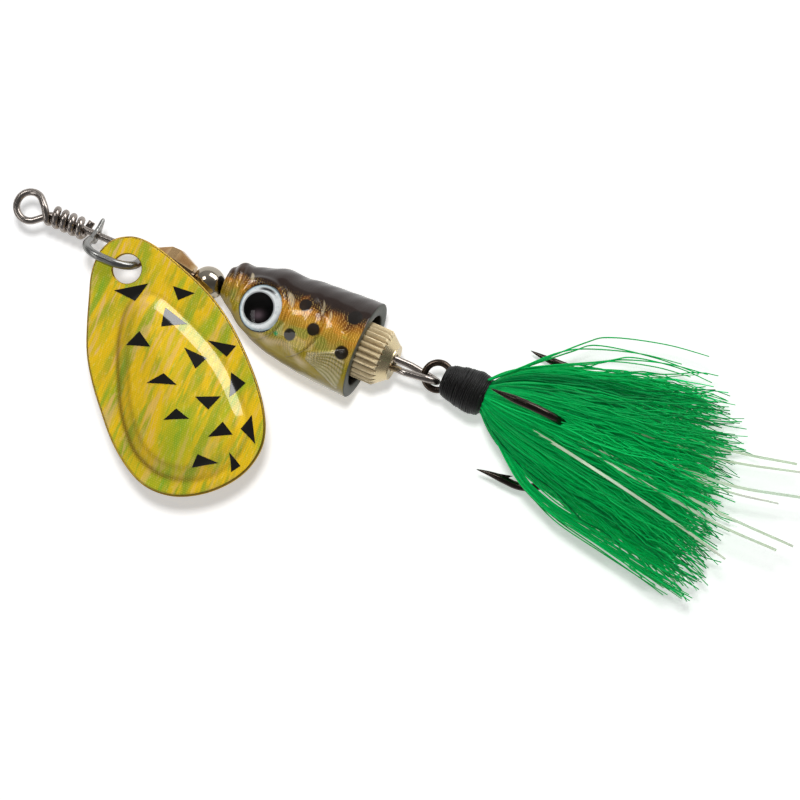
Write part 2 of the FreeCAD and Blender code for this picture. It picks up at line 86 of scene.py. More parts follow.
class Graph:
    """Node tree of a material or world. Inputs may be sockets, values or #rrggbb colours."""

    def __init__(self, owner, output="ShaderNodeOutputMaterial"):
        owner.use_nodes = True
        self.owner = owner
        self.tree = owner.node_tree
        self.tree.nodes.clear()
        self.output = self.node(output)
        self.coord_socket = None

    def node(self, kind, inputs=None, **props):
        node = self.tree.nodes.new(kind)
        for key, value in props.items():
            setattr(node, key, value)
        for key, value in (inputs or {}).items():
            if isinstance(value, bpy.types.NodeSocket):
                self.tree.links.new(value, node.inputs[key])
            else:
                node.inputs[key].default_value = rgb(value) if isinstance(value, str) else value
        return node

    def coords(self):
        if self.coord_socket is None:
            self.coord_socket = self.node("ShaderNodeTexCoord").outputs["Object"]
        return self.coord_socket

    def attribute(self, name, output="Fac"):
        return self.node("ShaderNodeAttribute", attribute_name=name).outputs[output]

    def geometry(self, output):
        return self.node("ShaderNodeNewGeometry").outputs[output]

    def light_path(self, output):
        return self.node("ShaderNodeLightPath").outputs[output]

    def math(self, operation, first, second):
        inputs = {0: first, 1: second, 2: 0.0}
        return self.node("ShaderNodeMath", inputs, operation=operation).outputs[0]

    def add(self, first, second):
        return self.math("ADD", first, second)

    def times(self, first, second):
        return self.math("MULTIPLY", first, second)

    def span(self, value, gain, base):
        """value * gain + base"""
        return self.add(self.times(value, gain), base)

    def mix(self, amount, first, second):
        inputs = {0: amount, 6: first, 7: second}
        return self.node("ShaderNodeMix", inputs, data_type="RGBA").outputs[2]

    def mapping(self, stretch=(1, 1, 1), tilt=0, shift=(0, 0, 0)):
        """Object coordinates, scaled, turned about Y by tilt degrees and moved."""
        return self.node("ShaderNodeMapping", {
            "Vector": self.coords(), "Location": shift,
            "Rotation": (0, math.radians(tilt), 0), "Scale": stretch}).outputs[0]

    def noise(self, scale, detail, rough, warp=0.0, **mapping):
        return self.node("ShaderNodeTexNoise", {
            "Vector": self.mapping(**mapping) if mapping else self.coords(),
            "Scale": scale, "Detail": detail, "Roughness": rough,
            "Distortion": warp}).outputs["Fac"]

    def wave(self, vector, scale, axis="X", profile="SIN", **inputs):
        inputs = {key.replace("_", " "): value for key, value in inputs.items()}
        inputs.update(Vector=vector, Scale=scale)
        return self.node("ShaderNodeTexWave", inputs, wave_type="BANDS", bands_direction=axis,
                         wave_profile=profile).outputs["Fac"]

    def ramp(self, value, stops):
        node = self.node("ShaderNodeValToRGB", {0: value})
        elements = node.color_ramp.elements
        while len(elements) > 1:
            elements.remove(elements[-1])
        elements[0].position = stops[0][0]
        elements[0].color = rgb(stops[0][1])
        for position, colour in stops[1:]:
            elements.new(position).color = rgb(colour)
        return node.outputs["Color"]

    def rise(self, value, start, end):
        """Black up to start, white from end."""
        return self.ramp(value, [(start, "#000000"), (end, "#ffffff")])

    def fall(self, value, start, end):
        """White up to start, black from end."""
        return self.ramp(value, [(start, "#ffffff"), (end, "#000000")])

    def map_range(self, value, from_min, from_max, to_min=0.0, to_max=1.0):
        inputs = {0: value, 1: from_min, 2: from_max, 3: to_min, 4: to_max}
        return self.node("ShaderNodeMapRange", inputs).outputs[0]

    def bump(self, height, strength, distance=0.00002, normal=None):
        inputs = {"Strength": strength, "Distance": distance, "Height": height}
        if normal is not None:
            inputs["Normal"] = normal
        return self.node("ShaderNodeBump", inputs).outputs[0]

    def principled(self, **inputs):
        inputs = {key.replace("_", " "): value for key, value in inputs.items()}
        return self.node("ShaderNodeBsdfPrincipled", inputs).outputs[0]

    def mix_shader(self, amount, first, second):
        return self.node("ShaderNodeMixShader", {0: amount, 1: first, 2: second}).outputs[0]

    def finish(self, shader):
        self.tree.links.new(shader, self.output.inputs[0])
        return self.owner


def new_material(name):
    return Graph(bpy.data.materials.new(name))


def metal(name, base, dark, rough, grain_scale, bump, grain=(1, 1, 1), edge=None,
          rough_range=0.12, worn=0.35):
    """Grained metal with darker worn patches and, if edge is given, lighter convex edges."""
    mat = new_material(name)
    fine = mat.noise(scale=grain_scale, detail=3, rough=0.6, stretch=grain)
    patches = mat.noise(scale=350, detail=4, rough=0.6)
    colour = mat.mix(mat.times(mat.rise(patches, 0.42, 0.70), worn), base, dark)
    colour = mat.mix(mat.times(fine, 0.18), colour, dark)
    if edge is not None:
        ridge = mat.rise(mat.geometry("Pointiness"), 0.50, 0.58)
        colour = mat.mix(mat.times(ridge, 0.6), colour, edge)
    roughness = mat.span(patches, gain=rough_range, base=rough - rough_range * 0.5)
    roughness = mat.add(roughness, mat.times(fine, 0.06))
    return mat.finish(mat.principled(Base_Color=colour, Metallic=1.0, Roughness=roughness,
                                     Normal=mat.bump(fine, strength=bump)))


# =============================================================== meshes
def build_mesh(name, verts, faces, mat, smooth=True, attributes=None):
    """Mesh object from points in mm, with float or RGB attributes on its points."""
    mesh = bpy.data.meshes.new(name)
    mesh.from_pydata([tuple(v) for v in verts * MM], [], [tuple(f) for f in faces])
    mesh.update()
    if smooth:
        mesh.polygons.foreach_set("use_smooth", [True] * len(mesh.polygons))
    for key, values in (attributes or {}).items():
        values = np.asarray(values, np.float32)
        if values.ndim == 1:
            mesh.attributes.new(key, "FLOAT", "POINT").data.foreach_set("value", values)
        else:
            layer = mesh.attributes.new(key, "FLOAT_COLOR", "POINT")
            alpha = np.ones((len(values), 1), np.float32)
            layer.data.foreach_set("color", np.concatenate([values, alpha], 1).ravel())
    ob = bpy.data.objects.new(name, mesh)
    bpy.context.scene.collection.objects.link(ob)
    mesh.materials.append(mat)
    return ob


def add_part(name, shape, mat, body, slot, replaces=None, **options):
    """Build shape = (verts, faces) as a part of the lure that moves with body."""
    ob = build_mesh(name, *shape, mat, **options)
    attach(ob, body)
    if replaces:
        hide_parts(replaces)
    return ob


def grid_faces(rows, cols, wrap_rows=True, wrap_cols=True, flip=False):
    """Quads of a grid of points stored row by row."""
    faces = []
    for i in range(rows if wrap_rows else rows - 1):
        j = (i + 1) % rows
        for k in range(cols if wrap_cols else cols - 1):
            l = (k + 1) % cols
            quad = (i * cols + k, i * cols + l, j * cols + l, j * cols + k)
            faces.append((quad[0],) + quad[:0:-1] if flip else quad)
    return faces


def merge(shapes):
    verts, faces, offset = [], [], 0
    for part_verts, part_faces in shapes:
        verts.append(np.asarray(part_verts))
        faces += [tuple(i + offset for i in face) for face in part_faces]
        offset += len(part_verts)
    return np.concatenate(verts), faces


def tube(path, radii, sides, closed=False):
    """Round tube along a path, its section carried along without twist."""
    path = np.asarray(path, float)
    count = len(path)
    radii = np.broadcast_to(np.asarray(radii, float), (count,))
    if closed:
        tangent = np.roll(path, -1, 0) - np.roll(path, 1, 0)
    else:
        tangent = np.gradient(path, axis=0)
    tangent /= np.linalg.norm(tangent, axis=1)[:, None]
    across = np.cross(tangent[0], [0.0, 1.0, 0.0])
    if np.linalg.norm(across) < 0.2:
        across = np.cross(tangent[0], [0.0, 0.0, 1.0])
    angle = np.linspace(0, 2 * np.pi, sides, endpoint=False)
    verts = []
    for i in range(count):
        across = across - tangent[i] * across.dot(tangent[i])
        across /= np.linalg.norm(across)
        third = np.cross(tangent[i], across)
        verts.append(path[i] + radii[i] * (np.cos(angle)[:, None] * across
                                           + np.sin(angle)[:, None] * third))
    verts = np.concatenate(verts)
    faces = grid_faces(count, sides, wrap_rows=closed)
    if not closed:
        verts = np.concatenate([verts, path[:1], path[-1:]])
        first, last = len(verts) - 2, len(verts) - 1
        for k in range(sides):
            l = (k + 1) % sides
            faces.append((first, l, k))
            faces.append((last, (count - 1) * sides + k, (count - 1) * sides + l))
    return verts, faces


def lathe(profile, sides, centre_z=0.0):
    """Closed profile [(x, radius)] turned about an X axis."""
    profile = np.asarray(profile, float)
    angle = np.linspace(0, 2 * np.pi, sides, endpoint=False)
    verts = np.zeros((sides, len(profile), 3))
    verts[:, :, 0] = profile[None, :, 0]
    verts[:, :, 1] = profile[None, :, 1] * np.cos(angle)[:, None]
    verts[:, :, 2] = profile[None, :, 1] * np.sin(angle)[:, None] + centre_z
    return verts.reshape(-1, 3), grid_faces(sides, len(profile))


# =============================================================== curves
def catmull_rom(points, steps):
    """Spline from the second point up to the last but one, which is left out."""
    curve = []
    for i in range(1, len(points) - 2):
        p0, p1, p2, p3 = points[i - 1:i + 3]
        for j in range(steps):
            t = j / steps
            curve.append(0.5 * (2 * p1 + (p2 - p0) * t
                                + (2 * p0 - 5 * p1 + 4 * p2 - p3) * t * t
                                + (3 * p1 - p0 - 3 * p2 + p3) * t ** 3))
    return curve


def open_spline(points, steps):
    points = np.asarray(points, float)
    padded = np.concatenate([[2 * points[0] - points[1]], points, [2 * points[-1] - points[-2]]])
    return np.array(catmull_rom(padded, steps) + [points[-1]])


def closed_spline(points, steps):
    return np.array(catmull_rom(np.concatenate([points[-1:], points, points[:2]]), steps))


def resample(ring, count):
    """Evenly spaced points round a closed outline."""
    ring = np.concatenate([ring, ring[:1]])
    length = np.concatenate([[0], np.cumsum(np.linalg.norm(np.diff(ring, axis=0), axis=1))])
    at = np.linspace(0, length[-1], count, endpoint=False)
    return np.stack([np.interp(at, length, ring[:, 0]), np.interp(at, length, ring[:, 1])], 1)


def thin_out(points, gap):
    """Drop points closer than gap to the last one kept."""
    kept = [points[0]]
    for point in points[1:]:
        if np.linalg.norm(point - kept[-1]) > gap:
            kept.append(point)
    return np.array(kept)


def relax_path(path, rounds=3):
    for _ in range(rounds):
        path[1:-1] = 0.25 * path[:-2] + 0.5 * path[1:-1] + 0.25 * path[2:]
    return path


def relax_ring(ring, rounds):
    for _ in range(rounds):
        ring = 0.25 * np.roll(ring, 1, 0) + 0.5 * ring + 0.25 * np.roll(ring, -1, 0)
    return ring


def round_corners(corners, radii, arc_step=0.08, line_step=0.4):
    """Polyline with an arc of the given radius at each inner corner."""
    corners = [np.array(corner, float) for corner in corners]
    path = [corners[0]]
    for before, corner, after, radius in zip(corners, corners[1:], corners[2:], radii):
        u = (before - corner) / np.linalg.norm(before - corner)
        v = (after - corner) / np.linalg.norm(after - corner)
        half = math.acos(max(-1, min(1, float(u.dot(v))))) / 2
        reach = radius / math.tan(half)
        bisector = (u + v) / np.linalg.norm(u + v)
        centre = corner + bisector * (radius / math.sin(half))
        spoke0 = (corner + u * reach - centre) / radius
        spoke1 = (corner + v * reach - centre) / radius
        sweep = math.acos(max(-1, min(1, float(spoke0.dot(spoke1)))))
        steps = max(3, int(sweep * radius / arc_step))
        arc = [centre + radius * (math.sin((1 - k / steps) * sweep) * spoke0
                                  + math.sin(k / steps * sweep) * spoke1) / math.sin(sweep)
               for k in range(steps + 1)]
        straight = int(np.linalg.norm(arc[0] - path[-1]) / line_step)
        for k in range(1, straight):
            path.append(path[-1] + (arc[0] - path[-1]) / (straight - k + 1))
        path += arc
    base = path[-1].copy()
    straight = max(1, int(np.linalg.norm(corners[-1] - base) / line_step))
    for k in range(1, straight + 1):
        path.append(base + (corners[-1] - base) * k / straight)
    return thin_out(path, 0.02)


def station_curve(known_x, known_y, x):
    """Cubic through the stations, its slopes averaged from the two spans beside each."""
    known_x, known_y, x = map(np.asarray, (known_x, known_y, x))
    chord = np.diff(known_y) / np.diff(known_x)
    slope = np.concatenate([[chord[0]], (chord[:-1] + chord[1:]) / 2, [chord[-1]]])
    i = np.clip(np.searchsorted(known_x, x) - 1, 0, len(known_x) - 2)
    span = known_x[i + 1] - known_x[i]
    t = (x - known_x[i]) / span
    return ((2 * t ** 3 - 3 * t ** 2 + 1) * known_y[i] + (t ** 3 - 2 * t ** 2 + t) * span * slope[i]
            + (-2 * t ** 3 + 3 * t ** 2) * known_y[i + 1] + (t ** 3 - t ** 2) * span * slope[i + 1])


def ease(start, end, x):
    """Smooth step from 0 at start to 1 at end."""
    t = np.clip((x - start) / (end - start), 0, 1)
    return t * t * (3 - 2 * t)


def bell(x, centre, width, power=2):
    return np.exp(-((x - centre) / width) ** power)


# =============================================================== wire
SHAFT_X = (3.6, 44.2)
EYE_R = 1.69                                    # centreline of the line eye
COIL_X, COIL_R, COIL_PITCH, COIL_TURNS = 2.45, 0.92, 1.02, 4.46
COIL_PHASE = math.radians(105)


def line_eye_path():
    """From the shaft round the eye to the start of the coil."""
    half_step = 130.0 / 3.0                     # degrees between an eye corner and its tangent points
    corner_r = EYE_R / math.cos(math.radians(half_step))

    def around(degrees):
        angle = math.radians(degrees)
        return (corner_r * math.cos(angle), 0, corner_r * math.sin(angle))

    corners = [(SHAFT_X[0], 0, 0), (EYE_R / math.cos(math.radians(50)), 0, 0),
               around(-50 - half_step), around(-180), around(-180 - 2 * half_step),
               (1.80, -0.90, 0.56),
               (COIL_X, -COIL_R * math.sin(COIL_PHASE), COIL_R * math.cos(COIL_PHASE))]
    return round_corners(corners, [0.8, EYE_R, EYE_R, EYE_R, 0.62])


def build_wire():
    angle = np.linspace(0, 2 * np.pi * COIL_TURNS, int(COIL_TURNS * 44))
    turn = angle + math.pi + COIL_PHASE
    coil = np.stack([COIL_X + COIL_PITCH * angle / (2 * np.pi),
                     COIL_R * np.sin(turn), -COIL_R * np.cos(turn)], 1)
    end_dir = coil[-1] - coil[-2]
    end_dir /= np.linalg.norm(end_dir)
    stub = np.array([coil[-1] + end_dir * s for s in np.linspace(0.1, 1.2, 9)])
    front = relax_path(thin_out(np.concatenate([line_eye_path()[:-3], coil[3:], stub]), 0.03))
    # the loop at the tail end, inside the weight, that holds the treble's ring
    loop = relax_path(round_corners(
        [(SHAFT_X[1], 0, 0), (44.85, 0, 0), (46.05, -0.12, -0.48), (48.3, -1.22, -0.52),
         (52.05, -1.35, -0.05), (52.05, 1.35, 0.05), (48.3, 1.22, 0.52), (46.45, 0.16, 0.50),
         (46.0, 0.06, 0.50)],
        [0.9, 0.9, 1.8, 1.2, 1.2, 1.8, 0.6]))
    shaft = np.stack([np.linspace(*SHAFT_X, 60), np.zeros(60), np.zeros(60)], 1)
    path = np.concatenate([front[::-1], shaft[1:-1], loop])
    steel = metal("steel_wire", "#b5aca5", "#6d635c", rough=0.20, grain=(0.15, 1, 1),
                  grain_scale=9000, bump=0.18)
    add_part("wire_smooth", tube(path, WIRE_R - 0.004, 20), steel, "wire", "steel_wire",
             replaces="wire_shaft")


build_wire()

# =============================================================== clevis and bushing
CLEVIS_X = (8.55, 14.95)                        # the two ears
CLEVIS_REACH, CLEVIS_R, EAR_THICK = 5.08, 0.50, 0.42
# The clevis is shaped with its bow toward +Z, then turned about X.
TURN_SIN, TURN_COS = 0.9023, -0.4311
CLEVIS_TURN = math.atan2(TURN_SIN, TURN_COS)


def clevis_turned(verts):
    verts = np.asarray(verts, float)
    c, s = math.cos(CLEVIS_TURN), math.sin(CLEVIS_TURN)
    return np.stack([verts[:, 0], verts[:, 1] * c - verts[:, 2] * s,
                     verts[:, 1] * s + verts[:, 2] * c], 1)


def clevis_ear(mid_x, tab_reach, spokes=120, rows=10):
    """Flattened, drilled ear: a disc joined with a tapered tab and a neck to the bow."""
    tab = [(0.3, -0.98), (tab_reach, -0.17), (tab_reach, 0.17), (0.3, 0.98)]
    tab = [(u * TURN_SIN - v * TURN_COS, u * TURN_COS + v * TURN_SIN) for u, v in tab]
    neck = [(-0.98, 0.4), (0.98, 0.4), (0.36, 2.35), (-0.36, 2.35)]
    angle = np.linspace(0, 2 * np.pi, spokes, endpoint=False)
    outer = np.full(spokes, 1.15)
    for i, spoke in enumerate(angle):
        ray = np.array([math.cos(spoke), math.sin(spoke)])
        for shape in (tab, neck):
            for j in range(len(shape)):
                start = np.array(shape[j - 1])
                edge = np.array(shape[j]) - start
                cross = ray[0] * edge[1] - ray[1] * edge[0]
                if abs(cross) < 1e-9:
                    continue
                reach = (start[0] * edge[1] - start[1] * edge[0]) / cross
                along = (start[0] * ray[1] - start[1] * ray[0]) / cross
                if reach > 0 and 0 <= along <= 1:
                    outer[i] = max(outer[i], reach)
    outer = relax_ring(outer, 2)
    hole = WIRE_R + 0.075
    t = np.linspace(0, 1, rows)
    radius = hole + (outer - hole)[:, None] * t[None, :]
    bevel = 0.10
    from_edge = np.minimum((1 - t)[None, :], t[None, :]) * (outer - hole)[:, None]
    half = EAR_THICK / 2 - bevel * np.clip(1 - from_edge / bevel, 0, 1) ** 2
    y, z = radius * np.cos(angle)[:, None], radius * np.sin(angle)[:, None]
    sides = [np.stack([mid_x + sign * half, y, z], 2).reshape(-1, 3) for sign in (-1, 1)]
    off = spokes * rows
    faces = []
    for i in range(spokes):
        here, there = i * rows, (i + 1) % spokes * rows
        for k in range(rows - 1):
            a, b, c, d = here + k, there + k, there + k + 1, here + k + 1
            faces.append((a, d, c, b))
            faces.append((off + a, off + b, off + c, off + d))
        faces.append((here, there, off + there, off + here))
        a, b = here + rows - 1, there + rows - 1
        faces.append((off + a, off + b, b, a))
    return clevis_turned(np.concatenate(sides)), faces


def build_clevis():
    x0, x1 = CLEVIS_X
    bow = round_corners([(x0, 0, 1.80), (x0, 0, CLEVIS_REACH), (x1, 0, CLEVIS_REACH),
                         (x1, 0, 1.80)], [2.40, 2.40])
    bow_verts, bow_faces = tube(bow, CLEVIS_R, 28)
    steel = metal("clevis_steel", "#a5a5a2", "#5d5c59", rough=0.25, grain=(0.4, 1, 1),
                  grain_scale=8000, bump=0.2)
    shape = merge([(clevis_turned(bow_verts), bow_faces),
                   clevis_ear(x0, tab_reach=2.05), clevis_ear(x1, tab_reach=1.22)])
    add_part("clevis_smooth", shape, steel, "clevis_body", "nickel", replaces="clevis")


def paint_bushing():
    brass = metal("brass", "#b98d5c", "#5f4020", rough=0.16, grain=(0.2, 1, 1),
                  grain_scale=7000, bump=0.12, edge="#efd3a0")
    slots = frame["nodes"]["faceted_bushing"].data.materials
    slots.clear()
    slots.append(brass)


build_clevis()
paint_bushing()

# =============================================================== knurled weight
WEIGHT_X, TEETH_X, CONE_X, FACE_X = 38.70, 45.08, 46.55, 46.70   # start, end of teeth, cone, face
TIP_R, ROOT_R, END_R, TEETH = 3.35, 2.84, 2.15, 26
BORE_R = 0.50


def knurled_brass():
    mat = new_material("brass_knurled_teeth")
    groove = mat.attribute("groove")
    fine = mat.noise(scale=7000, detail=3, rough=0.6, stretch=(0.2, 1, 1))
    patches = mat.noise(scale=450, detail=3, rough=0.6)
    colour = mat.mix(mat.times(fine, 0.2), "#efdcb2", "#8f7348")
    colour = mat.mix(mat.times(mat.rise(patches, 0.45, 0.7), 0.25), colour, "#a58a5c")
    # painted shade: the grooves between the teeth are darkened toward their roots
    colour = mat.mix(mat.times(groove, 0.62), colour, "#5a3f20")
    metallic = mat.math("SUBTRACT", 1.0, mat.times(mat.attribute("teeth"), 0.72))
    return mat.finish(mat.principled(Base_Color=colour, Metallic=metallic,
                                     Roughness=mat.span(fine, gain=0.1, base=0.22),
                                     Normal=mat.bump(fine, strength=0.12)))


def build_weight():
    count = TEETH * 14
    angle = np.linspace(0, 2 * np.pi, count, endpoint=False)
    tooth = np.abs(((angle * TEETH / (2 * np.pi)) % 1.0) * 2 - 1)
    toothed_r = ROOT_R + (TIP_R - ROOT_R) * np.clip(tooth * 1.18, 0, 1)
    depth = np.clip((TIP_R - toothed_r) / (TIP_R - ROOT_R), 0, 1) ** 0.9

    def ring(x, radius):
        return np.stack([np.full(count, x), radius * np.cos(angle), radius * np.sin(angle)], 1)

    rings, groove = [], []
    for x in np.concatenate([[WEIGHT_X], np.linspace(WEIGHT_X + 0.25, TEETH_X - 0.02, 14),
                             np.linspace(TEETH_X, TEETH_X + 0.75, 34),
                             np.linspace(TEETH_X + 0.80, CONE_X, 8)]):
        cone = TIP_R - (TIP_R - END_R) * np.clip((x - TEETH_X) / (CONE_X - TEETH_X), 0, 1)
        # chamfer at the head end; beyond it a radius too large to cut
        chamfer = ROOT_R - 0.15 + (x - WEIGHT_X) * 2.2 if x < WEIGHT_X + 0.3 else 9.0
        rings.append(ring(x, np.minimum(np.minimum(toothed_r, cone), chamfer)))
        # how deep each point lies in a groove, for the painted shade there
        groove.append(np.where(toothed_r < cone - 0.01, depth, 0.0))
    # rounded rim, recess and bore
    for x, radius in ((FACE_X - 0.02, END_R - 0.03), (FACE_X, END_R - 0.12), (FACE_X, 1.12),
                      (FACE_X - 0.06, 1.05), (44.60, 1.04), (44.60, BORE_R), (WEIGHT_X, BORE_R),
                      (WEIGHT_X, ROOT_R - 0.25)):
        rings.append(ring(x, radius))
        groove.append(np.zeros(count))
    verts = np.concatenate(rings)
    attributes = {"groove": np.concatenate(groove),
                  "teeth": (verts[:, 0] < TEETH_X + 0.35).astype(float)}
    add_part("knurled_weight_fine", (verts, grid_faces(len(rings), count)), knurled_brass(),
             "weight_body", "brass", replaces="knurled_weight", smooth=False,
             attributes=attributes)


build_weight()

# =============================================================== ball
BALL_X, BALL_R, BALL_BORE = 22.97, 1.95, 0.45


def build_ball():
    start = math.asin(BALL_BORE / BALL_R)
    profile = [(BALL_X - BALL_R * math.cos(t), BALL_R * math.sin(t))
               for t in np.linspace(start, math.pi - start, 60)]
    profile += [(BALL_X + BALL_R * math.cos(start) - k * 0.95 * math.cos(start), BALL_BORE)
                for k in (1, 2, 3)]
    nickel = metal("bright_nickel", "#beb5a4", "#857a66", rough=0.10, grain_scale=3000,
                   bump=0.03, rough_range=0.05, worn=0.2)
    add_part("ball_polished", lathe(profile, 96), nickel, "bead_body", "nickel",
             replaces="ball_bead")


build_ball()

# =============================================================== blade
# Blade edge, (x, z) square to the camera.
BLADE_EDGE = np.array([
    (9.95, -2.4), (10.12, -0.9), (10.95, 0.62), (12.5, 1.62), (14.0, 1.88), (15.6, 1.70),
    (17.5, 1.2), (19.9, 0.4), (22.3, -0.5), (24.7, -1.7), (27.05, -3.3), (29.4, -5.3),
    (31.8, -7.7), (33.7, -10.05), (34.95, -12.2), (35.55, -14.3), (35.45, -16.3),
    (34.85, -18.2), (33.65, -20.1), (31.8, -21.95), (29.4, -23.4), (27.05, -23.95),
    (24.7, -23.7), (22.3, -22.5), (19.9, -20.65), (17.5, -18.1), (15.1, -15.25),
    (13.3, -12.5), (12.0, -9.45), (10.95, -6.5), (10.2, -4.3)])
# Foot of the raised panel, (x, z) square to the camera.
PANEL_EDGE = np.array([
    (16.4, -3.9), (15.4, -5.5), (15.6, -8.4), (16.6, -11.5), (17.9, -14.2), (19.2, -16.7),
    (20.9, -19.0), (22.8, -20.8), (25.1, -21.8), (27.05, -22.0), (29.4, -21.4), (31.8, -19.8),
    (33.2, -17.4), (33.7, -15.0), (32.9, -12.4), (30.8, -10.05), (28.4, -7.9), (25.9, -6.3),
    (22.3, -4.7), (19.6, -3.7), (17.7, -3.4)])
# Corners of the printed triangles, (x, z) square to the camera.
TRIANGLES = [
    ((13.24, -4.81), (16.5, -2.55), (15.98, -4.98)), ((19.19, -1.71), (21.81, -1.48), (20.38, -2.98)),
    ((19.5, -4.29), (22.45, -5.05), (20.1, -6.48)), ((25.26, -5.83), (28.48, -5.12), (28.0, -6.71)),
    ((23.43, -7.62), (26.2, -7.71), (25.6, -9.33)), ((29.14, -8.1), (31.14, -8.57), (30.26, -10.8)),
    ((18.05, -7.9), (19.98, -9.05), (17.2, -9.98)), ((22.6, -11.2), (24.5, -11.83), (21.17, -13.0)),
    ((29.4, -11.07), (28.8, -13.0), (26.88, -12.24)), ((25.5, -14.3), (27.3, -14.8), (24.67, -16.07)),
    ((30.8, -13.6), (32.36, -14.5), (30.0, -15.86)), ((33.2, -11.6), (34.9, -14.5), (32.8, -13.55)),
    ((32.7, -16.5), (34.36, -17.43), (33.67, -18.5)), ((29.67, -18.1), (32.1, -18.1), (29.6, -19.8))]
BLADE_Y, BLADE_THICK = -3.48, 0.55
BLADE_FRONT = BLADE_Y - BLADE_THICK / 2         # the face toward the camera
HOLE_X, HOLE_Z, HOLE_R = 14.34, -2.22, 1.70
PANEL_CROWN, PANEL_SHOULDER, PANEL_DOME = 1.90, 1.45, 7.5   # rise, and widths of its two curves
GRID = 260
grid_x = np.linspace(8.6, 39.0, GRID)
grid_z = np.linspace(-26.0, 3.0, GRID)


def blade_points(points, widen=1.031):
    """Measured (x, z) points scaled across and along the blade, in the lure's x and z."""
    points = np.asarray(points, float)
    c, s = math.cos(VIEW_ROLL), math.sin(VIEW_ROLL)
    u = points[..., 0] * c + points[..., 1] * s
    v = points[..., 0] * s - points[..., 1] * c
    u = 17.32 + (u - 17.26) * widen
    v = 33.03 + (v - 33.03) * 1.007
    return np.stack([(u * c + v * s) * VIEW_STRETCH + 0.62, u * s - v * c - VIEW_DROP], -1)


def smooth_outline(points, count):
    return relax_ring(resample(closed_spline(blade_points(points), 14), count), 6)


def signed_distance(points, outline):
    """Distance to a closed outline, positive inside."""
    nearest = np.full(len(points), 1e9)
    crossings = np.zeros(len(points), int)
    for start, end in zip(outline, np.roll(outline, -1, 0)):
        edge = end - start
        t = np.clip(((points - start) @ edge) / (edge @ edge), 0, 1)
        gap = points - start - t[:, None] * edge
        nearest = np.minimum(nearest, np.hypot(gap[:, 0], gap[:, 1]))
        spans = (start[1] > points[:, 1]) != (end[1] > points[:, 1])
        with np.errstate(divide="ignore", invalid="ignore"):
            cut = (end[0] - start[0]) * (points[:, 1] - start[1]) / (end[1] - start[1]) + start[0]
        crossings += (spans & (points[:, 0] < cut)).astype(int)
    return np.where(crossings % 2 == 1, nearest, -nearest)


def panel_rise(inside):
    shoulder = np.clip(inside / PANEL_SHOULDER, 0, 1)
    dome = np.clip(inside / PANEL_DOME, 0, 1)
    rise = PANEL_CROWN * (0.36 * shoulder + 0.64 * np.sin(dome * np.pi / 2))
    rise[inside <= 0] = 0
    for _ in range(7):
        rise = (4 * rise + np.roll(rise, 1, 0) + np.roll(rise, -1, 0)
                + np.roll(rise, 1, 1) + np.roll(rise, -1, 1)) / 8
    return rise


blade_edge = smooth_outline(BLADE_EDGE, 420)
grid_points = np.stack([axis.ravel() for axis in np.meshgrid(grid_x, grid_z, indexing="ij")], 1)
panel_inside = signed_distance(grid_points, smooth_outline(PANEL_EDGE, 260)).reshape(GRID, GRID)
rise_grid = panel_rise(panel_inside)


def rise_at(x, z):
    """Height of the panel above the flat blade."""
    fx = np.clip((np.asarray(x) - grid_x[0]) / (grid_x[1] - grid_x[0]), 0, GRID - 1.001)
    fz = np.clip((np.asarray(z) - grid_z[0]) / (grid_z[1] - grid_z[0]), 0, GRID - 1.001)
    i, j = fx.astype(int), fz.astype(int)
    u, v = fx - i, fz - j
    return (rise_grid[i, j] * (1 - u) * (1 - v) + rise_grid[i + 1, j] * u * (1 - v)
            + rise_grid[i, j + 1] * (1 - u) * v + rise_grid[i + 1, j + 1] * u * v)


def inset(ring, distance):
    tangent = np.roll(ring, -1, 0) - np.roll(ring, 1, 0)
    tangent /= np.linalg.norm(tangent, axis=1)[:, None]
    normal = np.stack([tangent[:, 1], -tangent[:, 0]], 1)
    if ((ring.mean(0) - ring) * normal).sum() < 0:
        normal = -normal
    return ring + normal * distance


def blade_sheet(outer, hole_r, front_y, thick, rows, bevel):
    """Sheet from the hole to the outline, following the raised panel."""
    hole = np.array([HOLE_X, HOLE_Z])
    spoke = outer - hole
    length = np.linalg.norm(spoke, axis=1)
    spoke = spoke / length[:, None]
    t = np.linspace(0, 1, rows) ** 1.15
    count = len(outer)
    width = length - hole_r
    flat = hole + spoke[:, None, :] * (hole_r + width[:, None] * t[None, :])[:, :, None]
    rise = rise_at(flat[:, :, 0], flat[:, :, 1])
    from_edge = np.minimum((1 - t)[None, :] * width[:, None], t[None, :] * width[:, None])
    edge = bevel * np.clip(1 - from_edge / bevel, 0, 1) ** 2 * 0.8
    verts = np.concatenate([np.stack([flat[:, :, 0], y, flat[:, :, 1]], 2).reshape(-1, 3)
                            for y in (front_y - rise + edge, front_y - rise + thick - edge)])
    off = count * rows
    faces = []
    for i in range(count):
        here, there = i * rows, (i + 1) % count * rows
        for k in range(rows - 1):
            a, b, c, d = here + k, there + k, there + k + 1, here + k + 1
            faces.append((a, b, c, d))
            faces.append((off + a, off + d, off + c, off + b))
        faces.append((here, off + here, off + there, there))
        a, b = here + rows - 1, there + rows - 1
        faces.append((a, b, off + b, off + a))
    return verts, faces


